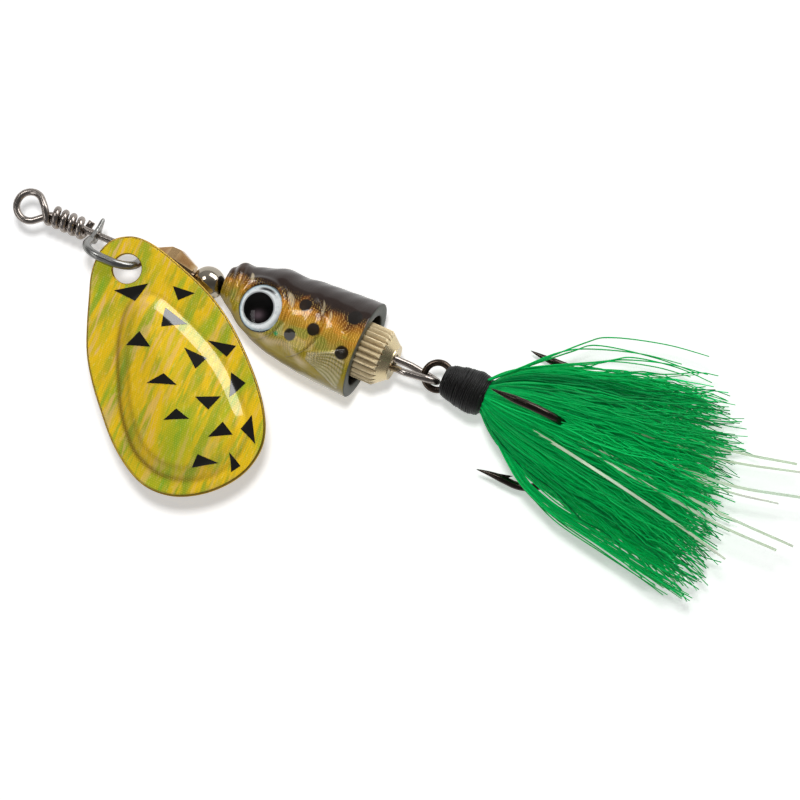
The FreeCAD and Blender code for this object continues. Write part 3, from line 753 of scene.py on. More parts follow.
def holo_film():
    """Yellow-green film with streaks across the wire and a fine zig-zag ruling."""
    mat = new_material("holo_film")
    place = mat.node("ShaderNodeSeparateXYZ", {0: mat.coords()}).outputs
    fold = mat.attribute("fold")
    streaks = mat.noise(scale=620, detail=3, rough=0.55, warp=0.3, stretch=(1.0, 0.2, 0.15), tilt=-4)
    narrow = mat.noise(scale=1100, detail=4, rough=0.6, warp=0.4, stretch=(1.0, 0.2, 0.12), tilt=5,
                       shift=(3, 1, 2))
    broad = mat.noise(scale=170, detail=2, rough=0.5, warp=0.5, stretch=(1.0, 0.3, 0.45), tilt=3,
                      shift=(9, 1, 5))
    middling = mat.noise(scale=380, detail=3, rough=0.6, warp=0.6, stretch=(1.0, 0.3, 0.22),
                         shift=(5, 3, 1))
    colour = mat.ramp(streaks, [(0.34, "#8fa51f"), (0.43, "#a6ad20"), (0.48, "#c3b01a"),
                                (0.54, "#f0c40a"), (0.61, "#d9b414"), (0.70, "#9fac22")])
    colour = mat.mix(mat.times(mat.rise(middling, 0.50, 0.56), 0.60), colour, "#f6c800")
    colour = mat.mix(mat.times(mat.rise(broad, 0.53, 0.62), 0.66), colour, "#8db31c")
    # warm pink, stronger toward the nose end (object X in metres)
    pink = mat.rise(narrow, 0.55, 0.61)
    toward_nose = mat.map_range(place["X"], 0.032, 0.011, to_min=0.25, to_max=0.85)
    colour = mat.mix(mat.times(pink, toward_nose), colour, "#ecbf7c")
    colour = mat.mix(mat.times(mat.fall(narrow, 0.36, 0.43), 0.55), colour, "#6fae2a")
    # painted reflection: pale silver where the film turns over the nose-end edge
    slanted = mat.add(place["X"], mat.times(place["Z"], 0.33))
    nose_edge_reflection = mat.map_range(slanted, 0.0098, 0.0078)
    colour = mat.mix(mat.times(nose_edge_reflection, 0.8), colour, "#bdb6ac")
    # painted shade: a brown-gold line where the panel starts to rise
    colour = mat.mix(mat.times(fold, 0.9), colour, "#7d5c08")
    # zig-zag ruling broken into dots
    zigzag = mat.wave(mat.coords(), scale=420, axis="Z", profile="TRI")
    dots = mat.wave(mat.coords(), scale=1250, axis="Z")
    bent = mat.node("ShaderNodeCombineXYZ", {0: mat.add(place["X"], mat.times(zigzag, 0.00022)),
                                             2: place["Z"]}).outputs[0]
    rules = mat.wave(bent, scale=1150, profile="TRI", Distortion=0.0)
    weave = mat.times(rules, dots)
    fine = mat.noise(scale=5000, detail=2, rough=0.5, stretch=(1, 0.3, 0.3))
    colour = mat.mix(mat.times(rules, 0.24), colour, "#8a7410")
    colour = mat.mix(mat.times(mat.rise(weave, 0.35, 0.8), 0.34), colour, "#ffe152")
    colour = mat.mix(mat.times(mat.rise(fine, 0.58, 0.75), 0.22), colour, "#fff3a0")
    normal = mat.bump(fine, strength=0.10, normal=mat.bump(rules, strength=0.20))
    waviness = mat.noise(scale=260, detail=2, rough=0.5)
    # the film glows faintly in its own colour: painted light that brightens the blade
    return mat.finish(mat.principled(
        Base_Color=colour, Emission_Color=colour, Emission_Strength=0.13, Metallic=0.10,
        Roughness=0.5, Specular_IOR_Level=0.2, Normal=normal, Coat_Weight=1.0,
        Coat_Roughness=0.045, Coat_IOR=1.56,
        Coat_Normal=mat.bump(waviness, strength=0.10, distance=0.0003)))


def black_ink():
    mat = new_material("black_ink")
    mottle = mat.noise(scale=1500, detail=3, rough=0.5)
    return mat.finish(mat.principled(
        Base_Color=mat.mix(mottle, "#070604", "#14110a"),
        Roughness=mat.span(mottle, gain=0.1, base=0.16), Coat_Weight=1.0, Coat_Roughness=0.06,
        Coat_IOR=1.5, Normal=mat.bump(mottle, strength=0.05)))


def triangle_mark(corners, lift=0.045, steps=18):
    """Thin printed triangle that follows the crowned film."""
    first, second, third = [blade_points(corner, widen=1.017) for corner in corners]
    index, verts, faces = {}, [], []
    for i in range(steps + 1):
        for j in range(steps + 1 - i):
            u, v = i / steps, j / steps
            x, z = first * (1 - u - v) + second * u + third * v
            index[i, j] = len(verts)
            verts.append((x, BLADE_FRONT - 0.09 - lift - float(rise_at(x, z)), z))
    for i in range(steps):
        for j in range(steps - i):
            faces.append((index[i, j], index[i + 1, j], index[i, j + 1]))
            if i + j < steps - 1:
                faces.append((index[i + 1, j], index[i + 1, j + 1], index[i, j + 1]))
    off = len(verts)
    verts += [(x, y + lift * 0.9, z) for x, y, z in verts]
    faces += [tuple(q + off for q in reversed(face)) for face in faces]
    rim = ([index[i, 0] for i in range(steps + 1)]
           + [index[steps - j, j] for j in range(1, steps + 1)]
           + [index[0, steps - j] for j in range(1, steps)])
    for p, q in zip(rim, rim[1:] + rim[:1]):
        faces.append((p, q, q + off, p + off))
    return np.array(verts), faces


def build_blade():
    gold = metal("blade_gold", "#d6b04a", "#94792a", rough=0.34, grain_scale=3500, bump=0.08)
    sheet = blade_sheet(blade_edge, HOLE_R, BLADE_FRONT, BLADE_THICK, rows=120, bevel=0.12)
    add_part("blade_metal_sheet", sheet, gold, "blade_body", "blade_metal", replaces="blade")


def build_film(thick=0.06, clearance=0.03):
    verts, faces = blade_sheet(inset(blade_edge, 0.22), HOLE_R + 0.10,
                               BLADE_FRONT - clearance - thick, thick, rows=130, bevel=0.03)
    i, j = [np.clip((verts[:, axis] - grid[0]) / (grid[1] - grid[0]), 0, GRID - 1).astype(int)
            for axis, grid in ((0, grid_x), (2, grid_z))]
    inside = panel_inside[i, j]
    # painted shade: the fold lines are strongest toward -X and -Z, the side turned away from the key
    # light
    strength = 0.35 + 0.65 * np.clip(((24.0 - verts[:, 0]) - (verts[:, 2] + 12.0)) / 10.0, 0, 1)
    lines = bell(inside, 0.05, 0.30) + 0.55 * bell(inside, PANEL_SHOULDER, 0.30)
    return add_part("blade_film_sheet", (verts, faces), holo_film(), "blade_body", "holo_film",
                    replaces="blade_film",
                    attributes={"fold": np.clip(lines, 0, 1) * strength})


build_blade()
film = build_film()
marks = add_part("blade_marks", merge([triangle_mark(corners) for corners in TRIANGLES]),
                 black_ink(), "blade_body", "holo_film", smooth=False)

# =============================================================== fish head shape
# Stations along the head: x, centre z, half height, half width.
HEAD_STATIONS = np.array([
    (24.97, 0.92, 1.85, 1.75), (26.10, 0.98, 2.64, 2.52), (28.50, 0.50, 3.75, 3.56),
    (31.60, 0.24, 4.78, 4.62), (35.20, 0.05, 5.28, 5.22), (39.00, 0.00, 5.60, 5.58),
    (42.90, 0.00, 5.80, 5.80)])
# Open polylines in the side view, (x, z), each with the height of its fold.
LIP_FOLDS = (                                   # last value: width of the groove
    ([(25.35, 3.3), (25.7, 2.2), (26.0, 0.8), (26.1, -0.8)], 0.13, 0.20),
    ([(26.5, 3.4), (26.9, 2.2), (27.1, 0.9), (27.0, -1.2)], 0.10, 0.22))
GILL_EDGES = (
    ([(32.0, 3.3), (33.3, 2.2), (33.9, 0.6), (33.6, -1.2), (32.6, -2.9), (31.0, -3.9)], 0.17),
    ([(36.2, 3.5), (37.6, 2.2), (38.3, 0.6), (38.1, -1.2), (37.1, -3.0), (35.2, -4.4)], 0.30))
FIN_ROOT = (36.9, -3.15)                        # x, z
EYE_X, EYE_Y, EYE_Z = 30.50, 4.34, -0.25
EYE_TILT = math.radians(12.0)
SOCKET_R, SOCKET_DEPTH = 2.88, 0.95
RINGS, RING_POINTS = 200, 300

ring_x = np.linspace(24.97, 42.90, RINGS)
head_x, head_angle = np.meshgrid(ring_x, np.linspace(0, 2 * np.pi, RING_POINTS, endpoint=False),
                                 indexing="ij")
centre_z, half_h, half_w = [station_curve(HEAD_STATIONS[:, 0], HEAD_STATIONS[:, column],
                                          ring_x)[:, None] for column in (1, 2, 3)]
unit_y, unit_z = -np.sin(head_angle), np.cos(head_angle)
sideness = np.abs(np.sin(head_angle))


def curve_distance(x, z, points):
    """Distance from an open polyline, the side it is on, and the station along it."""
    path = open_spline(points, 8)
    nearest = np.full(x.shape, 1e9)
    side = np.zeros(x.shape)
    along = np.zeros(x.shape)
    length = np.concatenate([[0], np.cumsum(np.linalg.norm(np.diff(path, axis=0), axis=1))])
    for i in range(len(path) - 1):
        edge = path[i + 1] - path[i]
        square = edge @ edge
        t = np.clip(((x - path[i][0]) * edge[0] + (z - path[i][1]) * edge[1]) / square, 0, 1)
        gap_x, gap_z = x - path[i][0] - t * edge[0], z - path[i][1] - t * edge[1]
        distance = np.hypot(gap_x, gap_z)
        closer = distance < nearest
        nearest = np.where(closer, distance, nearest)
        side = np.where(closer, np.sign(edge[0] * gap_z - edge[1] * gap_x), side)
        along = np.where(closer, (length[i] + t * math.sqrt(square)) / length[-1], along)
    return nearest, side, along


def fin_fan(x, z):
    """Distance and angle from the fin root, and the 0..1 pattern of its rays."""
    radius = np.hypot(x - FIN_ROOT[0], z - FIN_ROOT[1])
    degrees = np.degrees(np.arctan2(z - FIN_ROOT[1], x - FIN_ROOT[0]))
    rays = 0.5 + 0.5 * np.cos(np.radians(degrees + 3 * np.sin(radius * 1.3)) * 62)
    return radius, degrees, rays


def side_relief(x, z):
    """Relief seen from the side, and the mask of the pectoral fin."""
    relief = np.zeros(x.shape)
    for points, height, width in LIP_FOLDS:
        gap, _, along = curve_distance(x, z, points)
        relief -= height * bell(gap, 0, width) * ease(0, 0.15, along) * (1 - ease(0.85, 1, along))
        relief += height * 0.8 * bell(gap, 0.42, 0.25)
    # gill cover: two overlapping plates, each edge stepping down toward the tail
    for points, height in GILL_EDGES:
        gap, side, along = curve_distance(x, z, points)
        step = np.where(side < 0, bell(gap, 0, 1.6), -0.35 * bell(gap, 0, 0.35))
        relief += height * step * (ease(0, 0.12, along) * (1 - ease(0.9, 1, along)))
    # cheek ring round the eye
    relief += 0.16 * bell(np.hypot(x - 30.1, z - EYE_Z), 3.22, 0.32)
    radius, degrees, rays = fin_fan(x, z)
    fin = (ease(0.7, 1.2, radius) * (1 - ease(5.4, 5.7, radius))
           * ease(-23, -20, degrees) * (1 - ease(22, 25, degrees)))
    relief += fin * (0.14 + 0.10 * rays)
    return relief, fin


def eye_place(side):
    """Centre and outward normal of the eye on the -Y (side = -1) or +Y flank."""
    return (np.array([EYE_X, side * EYE_Y, EYE_Z]),
            np.array([-math.sin(EYE_TILT), side * math.cos(EYE_TILT), 0]))


def head_skin():
    """Outer skin, one row of points per ring, and the fin mask."""
    relief, fin = side_relief(head_x, centre_z + half_h * unit_z)
    relief = relief * ease(0.12, 0.45, sideness)
    # bumps and dips along the back
    back = np.clip(unit_z, 0, 1) ** 2
    relief += back * (0.26 * bell(head_x, 26.1, 0.55) + 0.24 * bell(head_x, 31.0, 1.3)
                      - 0.16 * bell(head_x, 33.6, 0.9) - 0.12 * bell(head_x, 27.4, 0.6))
    # the rim at the tail end stays plain and round
    relief *= 1 - ease(42.3, 42.8, head_x)
    lumps = (0.03 * np.sin(head_x * 1.9 + 2 * np.sin(head_angle * 3))
             * np.sin(head_angle * 7 + head_x))
    relief += lumps * (1 - ease(41.5, 42.5, head_x))
    skin = np.stack([head_x, half_w * unit_y + relief * unit_y,
                     centre_z + half_h * unit_z + relief * unit_z], 2)
    # flat-bottomed eye sockets
    for side in (-1, 1):
        centre, normal = eye_place(side)
        offset = skin - centre
        depth = offset @ normal
        radius = np.linalg.norm(offset - depth[:, :, None] * normal, axis=2)
        cut = (radius < SOCKET_R) & (depth > -SOCKET_DEPTH)
        skin[cut] = (skin - (depth + SOCKET_DEPTH)[:, :, None] * normal)[cut]
    return skin, fin


# Rings that turn over the tail rim: x, radius.
RIM_RINGS = ((42.98, 5.72), (43.0, 5.55), (43.0, 4.5), (42.95, 4.34))
# The cavity open toward the tail: x and radius of its stations.
CAVITY_X = [31.5, 34.2, 37.0, 40.0, 42.9]
CAVITY_R = [1.6, 3.0, 3.85, 4.2, 4.3]
# Wire hole from the cavity to the nose: x, half width, half height, centre z.
BORE_RINGS = ((31.45, 1.2, 1.2, 0), (31.45, 0.45, 0.45, 0), (25.4, 0.45, 0.45, 0),
              (24.9, 0.62, 0.62, 0), (24.86, 1.0, 1.0, 0.25), (24.88, 1.45, 1.50, 0.75))


def head_shape(skin):
    cavity_x = np.linspace(42.86, CAVITY_X[0], 40)
    cavity_r = station_curve(CAVITY_X, CAVITY_R, cavity_x)
    inner = [(x, r, r, 0) for x, r in RIM_RINGS + tuple(zip(cavity_x, cavity_r))]
    rings = list(skin)
    for x, width, height, z in inner + list(BORE_RINGS):
        rings.append(np.stack([np.full(RING_POINTS, x), width * unit_y[0],
                               z + height * unit_z[0]], 1))
    return np.concatenate(rings), grid_faces(len(rings), RING_POINTS, flip=True)


# =============================================================== fish head paint
# Bands from belly to back: colour, start and end height (-1..1), share of the scalloped edge.
PAINT_BANDS = (("#a08c0e", -0.99, -0.80, 0.0), ("#ab9a18", -0.78, -0.50, 0.0),
               ("#bfa24a", -0.50, -0.30, 0.0), ("#b8922a", -0.28, -0.10, 0.0),
               ("#bb8a22", -0.10, 0.14, 0.0), ("#965e14", 0.16, 0.34, 0.5),
               ("#5a2c08", 0.32, 0.46, 1.0), ("#1c0c06", 0.45, 0.53, 1.0))
# Pale glints, square to the camera: x, z, direction x and z, length, width, strength.
GLINTS = ((32.2, 2.36, 0.62, -0.79, 1.05, 0.34, 0.85), (37.2, 2.16, 0.21, -0.98, 0.85, 0.20, 0.85),
          (36.0, 2.9, 0.35, -0.94, 1.0, 0.16, 0.6), (26.7, 2.9, 0.5, -0.87, 0.65, 0.24, 0.8))
# Dark spots, square to the camera: x, z, radius.
SPOTS = ((33.9, 2.4, 0.75), (36.0, 0.2, 0.80), (33.6, -1.4, 0.75), (40.0, -0.95, 0.85),
         (39.7, 3.3, 0.85))
FLANK_Y, FLANK_DROP = -4.9, 0.35                # depth and Z offset of marks on the flank


def value_noise(x, y, seed):
    """Smooth noise, 0..1, with one random value per unit square corner."""
    table = np.random.default_rng(seed).random((64, 64))
    i, j = np.floor(x).astype(int), np.floor(y).astype(int)
    u, v = x - i, y - j
    u, v = u * u * (3 - 2 * u), v * v * (3 - 2 * v)
    a, b = table[i % 64, j % 64], table[(i + 1) % 64, j % 64]
    c, d = table[i % 64, (j + 1) % 64], table[(i + 1) % 64, (j + 1) % 64]
    return (a * (1 - u) + b * u) * (1 - v) + (c * (1 - u) + d * u) * v


def linear(code):
    return np.array(rgb(code)[:3])


def lay(base, colour, amount):
    """Blend a colour over the paint, point by point."""
    if isinstance(colour, str):
        colour = linear(colour)
    return base * (1 - amount[:, None]) + colour * amount[:, None]


def flank_offset(x, z, mark_x, mark_z):
    """Offset of points from a mark measured square to the camera."""
    return x - from_view(mark_x, 0, FLANK_Y)[0], z - (mark_z - FLANK_DROP)


def skin_paint(skin, fin):
    """Colour of each skin point, and how strongly foil shows there."""
    x, z = skin[:, :, 0].ravel(), skin[:, :, 2].ravel()
    height = ((z - np.repeat(centre_z.ravel(), RING_POINTS))
              / np.repeat(half_h.ravel(), RING_POINTS))
    height = height + (0.10 * (value_noise(x * 0.9, z * 0.9, 3) - 0.5)
                       + 0.06 * (value_noise(x * 2.6, z * 2.2, 5) - 0.5))
    scallop = (0.05 * np.sin(x * 1.55 + 0.6) + 0.05 * np.abs(np.sin(x * 0.78 + 0.9))
               + 0.03 * np.sin(x * 3.7))
    paint = np.tile(linear("#7d6e08"), (len(x), 1))
    for colour, start, end, share in PAINT_BANDS:
        paint = lay(paint, colour, ease(start, end, height + scallop * share))
    # nose and mouth are darker
    paint = lay(paint, "#3a2410", 0.75 * (1 - ease(25.4, 28.6, x)) * ease(-0.2, 0.6, height))
    paint = lay(paint, "#8d7a22", 0.6 * (1 - ease(25.4, 28.0, x)) * (1 - ease(-0.4, 0.1, height)))
    # greenish patches low on the flank, orange ones above
    flakes = value_noise(x * 0.9 + 3.0, z * 0.9, 12)
    paint = lay(paint, "#8f9d3c", 0.75 * ease(0.45, 0.70, flakes) * ease(-0.72, -0.35, height)
                * (1 - ease(-0.05, 0.16, height)))
    flakes = value_noise(x * 1.3 + 7.0, z * 1.5, 15)
    paint = lay(paint, "#d08a26", 0.7 * ease(0.55, 0.75, flakes) * ease(-0.2, 0.05, height)
                * (1 - ease(0.30, 0.44, height)))
    # silver-pink line from under the eye to the fin
    line_z = -2.55 - 0.16 * (x - 30.0) + 0.35 * np.sin(x * 1.3)
    line = bell(z, line_z, 0.42) * ease(28.5, 30.5, x) * (1 - ease(37.0, 39.0, x))
    paint = lay(paint, "#d9c7a2", 0.75 * line)
    # curved, tapering glints
    for mark_x, mark_z, dir_x, dir_z, length, width, strength in GLINTS:
        off_x, off_z = flank_offset(x, z, mark_x, mark_z)
        along = off_x * dir_x + off_z * dir_z
        across = -off_x * dir_z + off_z * dir_x + 0.18 * along * along
        taper = np.clip(1 - (along / (length * 1.25)) ** 2, 0.02, 1)
        glow = np.exp(-(across / (width * taper)) ** 2 - (along / length) ** 4)
        paint = lay(paint, "#dccba6", 0.7 * strength * np.clip(1.6 * glow - 0.3, 0, 1))
    rays = fin_fan(x, z)[2]
    on_fin = fin.ravel() * ease(0.2, 0.4, sideness.ravel())
    paint = lay(paint, lay(linear("#8d8848"), "#cfc6a2", rays), 0.85 * on_fin)
    dark = np.zeros(len(x))
    for mark_x, mark_z, radius in SPOTS:
        distance = np.hypot(*flank_offset(x, z, mark_x, mark_z))
        dark = np.maximum(dark, 1 - ease(radius * 0.88, radius * 1.06, distance))
    paint = lay(paint, "#0c0806", dark * 0.98)
    # small green dot below the eye
    dot = np.hypot(flank_offset(x, z, 31.95, 0)[0], z + 2.25)
    paint = lay(paint, "#12a05a", (1 - ease(0.22, 0.34, dot)) * 0.95)
    foil = ease(-0.8, -0.5, height) * (1 - ease(0.40, 0.62, height)) * (1 - dark)
    return paint, foil


def head_paint():
    mat = new_material("head_paint")
    paint = mat.attribute("paint", "Color")
    foil = mat.attribute("foil")
    coat = mat.attribute("coat")
    mottle = mat.noise(scale=2600, detail=4, rough=0.6, stretch=(1, 1, 0.35))
    fine = mat.noise(scale=9000, detail=2, rough=0.5)
    colour = mat.mix(mat.times(mottle, 0.20), paint, "#2a1c0c")
    # wrinkled foil under the clear coat: fine crossing creases that bend as they run
    creases = [mat.wave(mat.mapping(tilt=tilt), scale=scale, Distortion=bend, Detail=3.0,
                        Detail_Scale=0.6)
               for tilt, scale, bend in ((40, 1500, 9.0), (-48, 1700, 8.0), (5, 950, 12.0))]
    patches = mat.noise(scale=420, detail=3, rough=0.6, warp=0.8)
    chosen = mat.node("ShaderNodeMix", {0: mat.rise(patches, 0.44, 0.56), 2: creases[0],
                                        3: creases[1]}, data_type="FLOAT").outputs[0]
    crease = mat.times(mat.add(chosen, creases[2]), 0.5)
    low = mat.times(mat.fall(crease, 0.20, 0.50), mat.times(foil, 0.42))
    high = mat.times(mat.rise(crease, 0.60, 0.85), mat.times(foil, 0.40))
    colour = mat.mix(low, colour, "#6a4410")
    colour = mat.mix(high, colour, "#f0c469")
    normal = mat.bump(mottle, strength=0.06, distance=0.00004)
    normal = mat.bump(crease, strength=0.18, distance=0.00004, normal=normal)
    waviness = mat.noise(scale=500, detail=2, rough=0.5)
    return mat.finish(mat.principled(
        Base_Color=colour, Metallic=mat.times(foil, 0.35),
        Roughness=mat.span(fine, gain=0.14, base=0.30), Normal=normal, Specular_IOR_Level=0.12,
        Coat_Weight=mat.times(coat, 0.9), Coat_Roughness=0.035, Coat_IOR=1.42,
        Coat_Normal=mat.bump(waviness, strength=0.12, distance=0.0003)))


def build_head():
    skin, fin = head_skin()
    verts, faces = head_shape(skin)
    paint, foil = skin_paint(skin, fin)
    on_skin, on_rim = len(paint), len(RIM_RINGS) * RING_POINTS
    inside = len(verts) - on_skin
    # the rim is grey-green metal; the hollow and bore behind it are near black, painted shade inside
    # the head
    colours = np.concatenate([paint, np.tile(linear("#474c44"), (on_rim, 1)),
                              np.tile(linear("#191a16"), (inside - on_rim, 1))])
    attributes = {"paint": colours, "foil": np.concatenate([foil, np.zeros(inside)]),
                  "coat": np.concatenate([np.ones(on_skin), np.zeros(inside)])}
    add_part("head_detailed", (verts, faces), head_paint(), "head_body", "head_paint",
             replaces="head_shell", attributes=attributes)


build_head()

# =============================================================== eyes
EYE_R = 2.80
# Heights along the eye's normal, from its centre.
DISC_BACK, DISC_FACE, LENS_BACK, LENS_RISE = -0.93, -0.70, -0.66, 0.92


def eye_foil():
    """Silver ring with shading and a dark pupil, drawn by the disc's attributes."""
    mat = new_material("eye_foil")
    radius, pupil_r, shade, glow = [mat.attribute(key) for key in ("er", "pr", "dk", "pg")]
    mottle = mat.noise(scale=1800, detail=4, rough=0.65)
    fine = mat.noise(scale=7000, detail=2, rough=0.5)
    jitter = mat.times(mat.math("SUBTRACT", mottle, 0.5), 0.03)
    ring = mat.ramp(mat.add(radius, jitter),
                    [(0.0, "#f2f5f5"), (0.86, "#eef3f4"), (0.93, "#b8cdd3"), (0.965, "#3c4346"),
                     (1.0, "#16181a")])
    ring = mat.mix(mat.times(mat.rise(mottle, 0.50, 0.66), 0.35), ring, "#9aa6ac")
    ring = mat.mix(shade, ring, "#15171a")
    # painted highlight: a paler purple-grey patch low on the pupil
    pupil = mat.mix(glow, "#020202", "#5a4c52")
    beyond = mat.rise(mat.add(pupil_r, jitter), 0.640, 0.668)
    colour = mat.mix(beyond, pupil, ring)
    outline = mat.ramp(mat.add(pupil_r, jitter), [(0.64, "#000000"), (0.665, "#ffffff"),
                                                  (0.69, "#ffffff"), (0.72, "#000000")])
    colour = mat.mix(mat.times(outline, 0.5), colour, "#2b3135")
    return mat.finish(mat.principled(
        Base_Color=colour, Metallic=mat.times(beyond, 0.35),
        Roughness=mat.span(fine, gain=0.1, base=0.30),
        Specular_IOR_Level=mat.times(beyond, 0.5), Normal=mat.bump(fine, strength=0.1)))


def clear_resin():
    """Clear dome that only adds a reflection on its outer face."""
    mat = new_material("clear_resin")
    waviness = mat.noise(scale=900, detail=2, rough=0.5)
    clear = mat.node("ShaderNodeBsdfTransparent").outputs[0]
    gloss = mat.node("ShaderNodeBsdfGlossy", {
        "Roughness": 0.03, "Normal": mat.bump(waviness, strength=0.03)}).outputs[0]
    fresnel = mat.node("ShaderNodeFresnel", {"IOR": 1.5}).outputs[0]
    outside = mat.math("SUBTRACT", 1.0, mat.geometry("Backfacing"))
    amount = mat.times(mat.times(fresnel, 0.6), outside)
    return mat.finish(mat.mix_shader(amount, clear, gloss))


def turned_disc(profile, centre, normal, sides):
    """Profile of (radius, height) turned about the normal through the centre."""
    u = np.cross(normal, [0, 0, 1.0])
    u /= np.linalg.norm(u)
    v = np.cross(normal, u)
    verts = []
    for i in range(sides):
        angle = 2 * np.pi * i / sides
        spoke = math.cos(angle) * u + math.sin(angle) * v
        verts += [centre + spoke * radius + normal * height for radius, height in profile]
    return np.array(verts), grid_faces(sides, len(profile), wrap_cols=False, flip=True)


def build_eye_disc(name, side, mat, sides=160):
    centre, normal = eye_place(side)
    profile = [(0.001, DISC_BACK), (EYE_R - 0.05, DISC_BACK), (EYE_R - 0.01, DISC_BACK + 0.03)]
    profile += [(r, DISC_FACE) for r in np.linspace(0.001, EYE_R - 0.02, 46)[::-1]]
    verts, faces = turned_disc(profile, centre, normal, sides)
    # the drawing leans with the camera's roll
    c, s = math.cos(VIEW_ROLL), math.sin(VIEW_ROLL)
    offset = verts - centre
    right, up = offset @ np.array([c, 0, s]), offset @ np.array([-s, 0, c])
    degrees = np.degrees(np.arctan2(up, right))
    radius = np.tile([r for r, _ in profile], sides) / EYE_R
    # one firm arc of shade and two soft ones
    shade = (bell(radius, 0.805, 0.062, 4) * bell(degrees, 66, 27, 4)
             + 0.6 * bell(radius, 0.86, 0.08) * bell(degrees, -38, 30)
             + 0.45 * bell(radius, 0.90, 0.05) * bell(degrees, -95, 26))
    add_part("eye_disc_fine_" + name, (verts, faces), mat, "head_body", "eye_foil",
             replaces="eye_disc_" + name, attributes={
                 "er": radius,
                 "pr": np.hypot(right + 0.20, up + 0.02) / EYE_R,
                 "dk": np.clip(shade, 0, 1),
                 # painted highlight low on the pupil
                 "pg": 0.75 * np.exp(-(((right + 0.25) / 0.62) ** 2 + ((up + 0.85) / 0.50) ** 2))})


def build_eye_lens(name, side, mat):
    rim = EYE_R - 0.05
    sphere_r = (rim ** 2 + LENS_RISE ** 2) / (2 * LENS_RISE)
    profile = [(0.001, LENS_BACK), (rim, LENS_BACK)]
    for angle in np.linspace(math.asin(rim / sphere_r), 0.0005, 30):
        profile.append((sphere_r * math.sin(angle),
                        LENS_BACK - (sphere_r - LENS_RISE) + sphere_r * math.cos(angle)))
    add_part("eye_lens_fine_" + name, turned_disc(profile, *eye_place(side), 96), mat,
             "head_body", "clear_lens", replaces="eye_lens_" + name)


foil_mat, resin_mat = eye_foil(), clear_resin()
for flank, flank_name in ((-1, "left"), (1, "right")):
    build_eye_disc(flank_name, flank, foil_mat)
    build_eye_lens(flank_name, flank, resin_mat)

# =============================================================== treble hook
TREBLE_Z = 0.60
HOOK_TURNS = (6.9, 126.9, -113.1)               # degrees about the treble's axis; the first is single
SHANK_OFF, GAP = 0.565, 8.60                    # shank and point, from the treble's axis
BEND_X, POINT_X, HOOK_R = 64.30, 59.70, 0.45
POINT_TAPER = 3.1
RING_X, RING_R, RING_WIRE = 51.95, 1.575, 0.39


def hook_path(start_x):
    bend_r, bend_z = (GAP - SHANK_OFF) / 2, (GAP + SHANK_OFF) / 2
    path = [(x, 0, SHANK_OFF) for x in np.linspace(start_x, BEND_X, 18)]
    for a in np.linspace(0, math.pi, 34)[1:]:
        path.append((BEND_X + bend_r * math.sin(a) * 1.06, 0, bend_z - bend_r * math.cos(a)))
    for x in np.linspace(BEND_X, POINT_X, 26)[1:]:
        t = (BEND_X - x) / (BEND_X - POINT_X)
        path.append((x, 0, GAP + 0.10 * t * t - 0.10 * math.sin(t * math.pi)))
    path = np.array(path)
    length = np.concatenate([[0], np.cumsum(np.linalg.norm(np.diff(path, axis=0), axis=1))])
    rest = length[-1] - length
    taper = np.where(rest < POINT_TAPER, np.clip(rest / POINT_TAPER, 0, 1) ** 0.75, 1.0)
    return path, HOOK_R * taper + 0.012


def barb():
    outline = [(61.1, GAP - 0.20, 0.05), (64.0, GAP - 0.92, 0.05),      # x, z, half width
               (63.55, GAP - 0.55, 0.24), (63.0, GAP - 0.25, 0.24)]
    verts = np.array([(x, sign * half, z) for sign in (-1, 1) for x, z, half in outline])
    faces = [(0, 1, 2, 3), (7, 6, 5, 4)]
    faces += [(i, i + 4, (i + 1) % 4 + 4, (i + 1) % 4) for i in range(4)]
    return verts, faces


def hook(degrees, start_x):
    """One hook, its local Z turned to the given angle round the treble's axis."""
    path, radii = hook_path(start_x)
    verts, faces = merge([tube(path, radii, 20), barb()])
    angle = math.radians(degrees)
    outward = np.array([0, -math.cos(angle), math.sin(angle)])
    sideways = np.array([0, -math.sin(angle), -math.cos(angle)])
    verts = (verts[:, :1] * np.array([[1.0, 0, 0]]) + verts[:, 2:3] * outward[None]
             + verts[:, 1:2] * sideways[None] + np.array([[0, 0, TREBLE_Z]]))
    return verts, faces


def build_treble():
    black = metal("black_nickel", "#4b433d", "#1b1715", rough=0.20, grain=(0.2, 1, 1),
                  grain_scale=8000, bump=0.10, rough_range=0.1, edge="#7d6a5c")
    angle = np.linspace(0, 2 * np.pi, 80, endpoint=False)
    ring = np.stack([RING_X + RING_R * np.cos(angle), 0.0 * angle,
                     TREBLE_Z + RING_R * np.sin(angle)], 1)
    double = merge([tube(ring, RING_WIRE, 20, closed=True)]
                   + [hook(turn, 53.25) for turn in HOOK_TURNS[1:]])
    add_part("hook_double_smooth", double, black, "treble_body", "hook_steel",
             replaces="hook_double")
    add_part("hook_single_smooth", hook(HOOK_TURNS[0], 54.10), black, "treble_body",
             "hook_steel", replaces="hook_single")


build_treble()

# =============================================================== thread wrap
WRAP_X = [52.75, 53.6, 55.0, 56.6, 57.6, 58.15]
WRAP_R = [1.55, 1.84, 2.10, 2.34, 2.15, 1.80]
THREAD_R = 0.115


def black_thread():
    mat = new_material("black_thread")
    fibre = mat.noise(scale=9000, detail=3, rough=0.6)
    patches = mat.noise(scale=1100, detail=3, rough=0.5)
    colour = mat.mix(fibre, "#020202", "#0e0d0d")
    colour = mat.mix(mat.times(patches, 0.3), colour, "#141312")
    return mat.finish(mat.principled(
        Base_Color=colour, Roughness=mat.span(patches, gain=0.2, base=0.34),
        Specular_IOR_Level=0.35, Sheen_Weight=0.04,
        Normal=mat.bump(fibre, strength=0.5, distance=0.00003)))


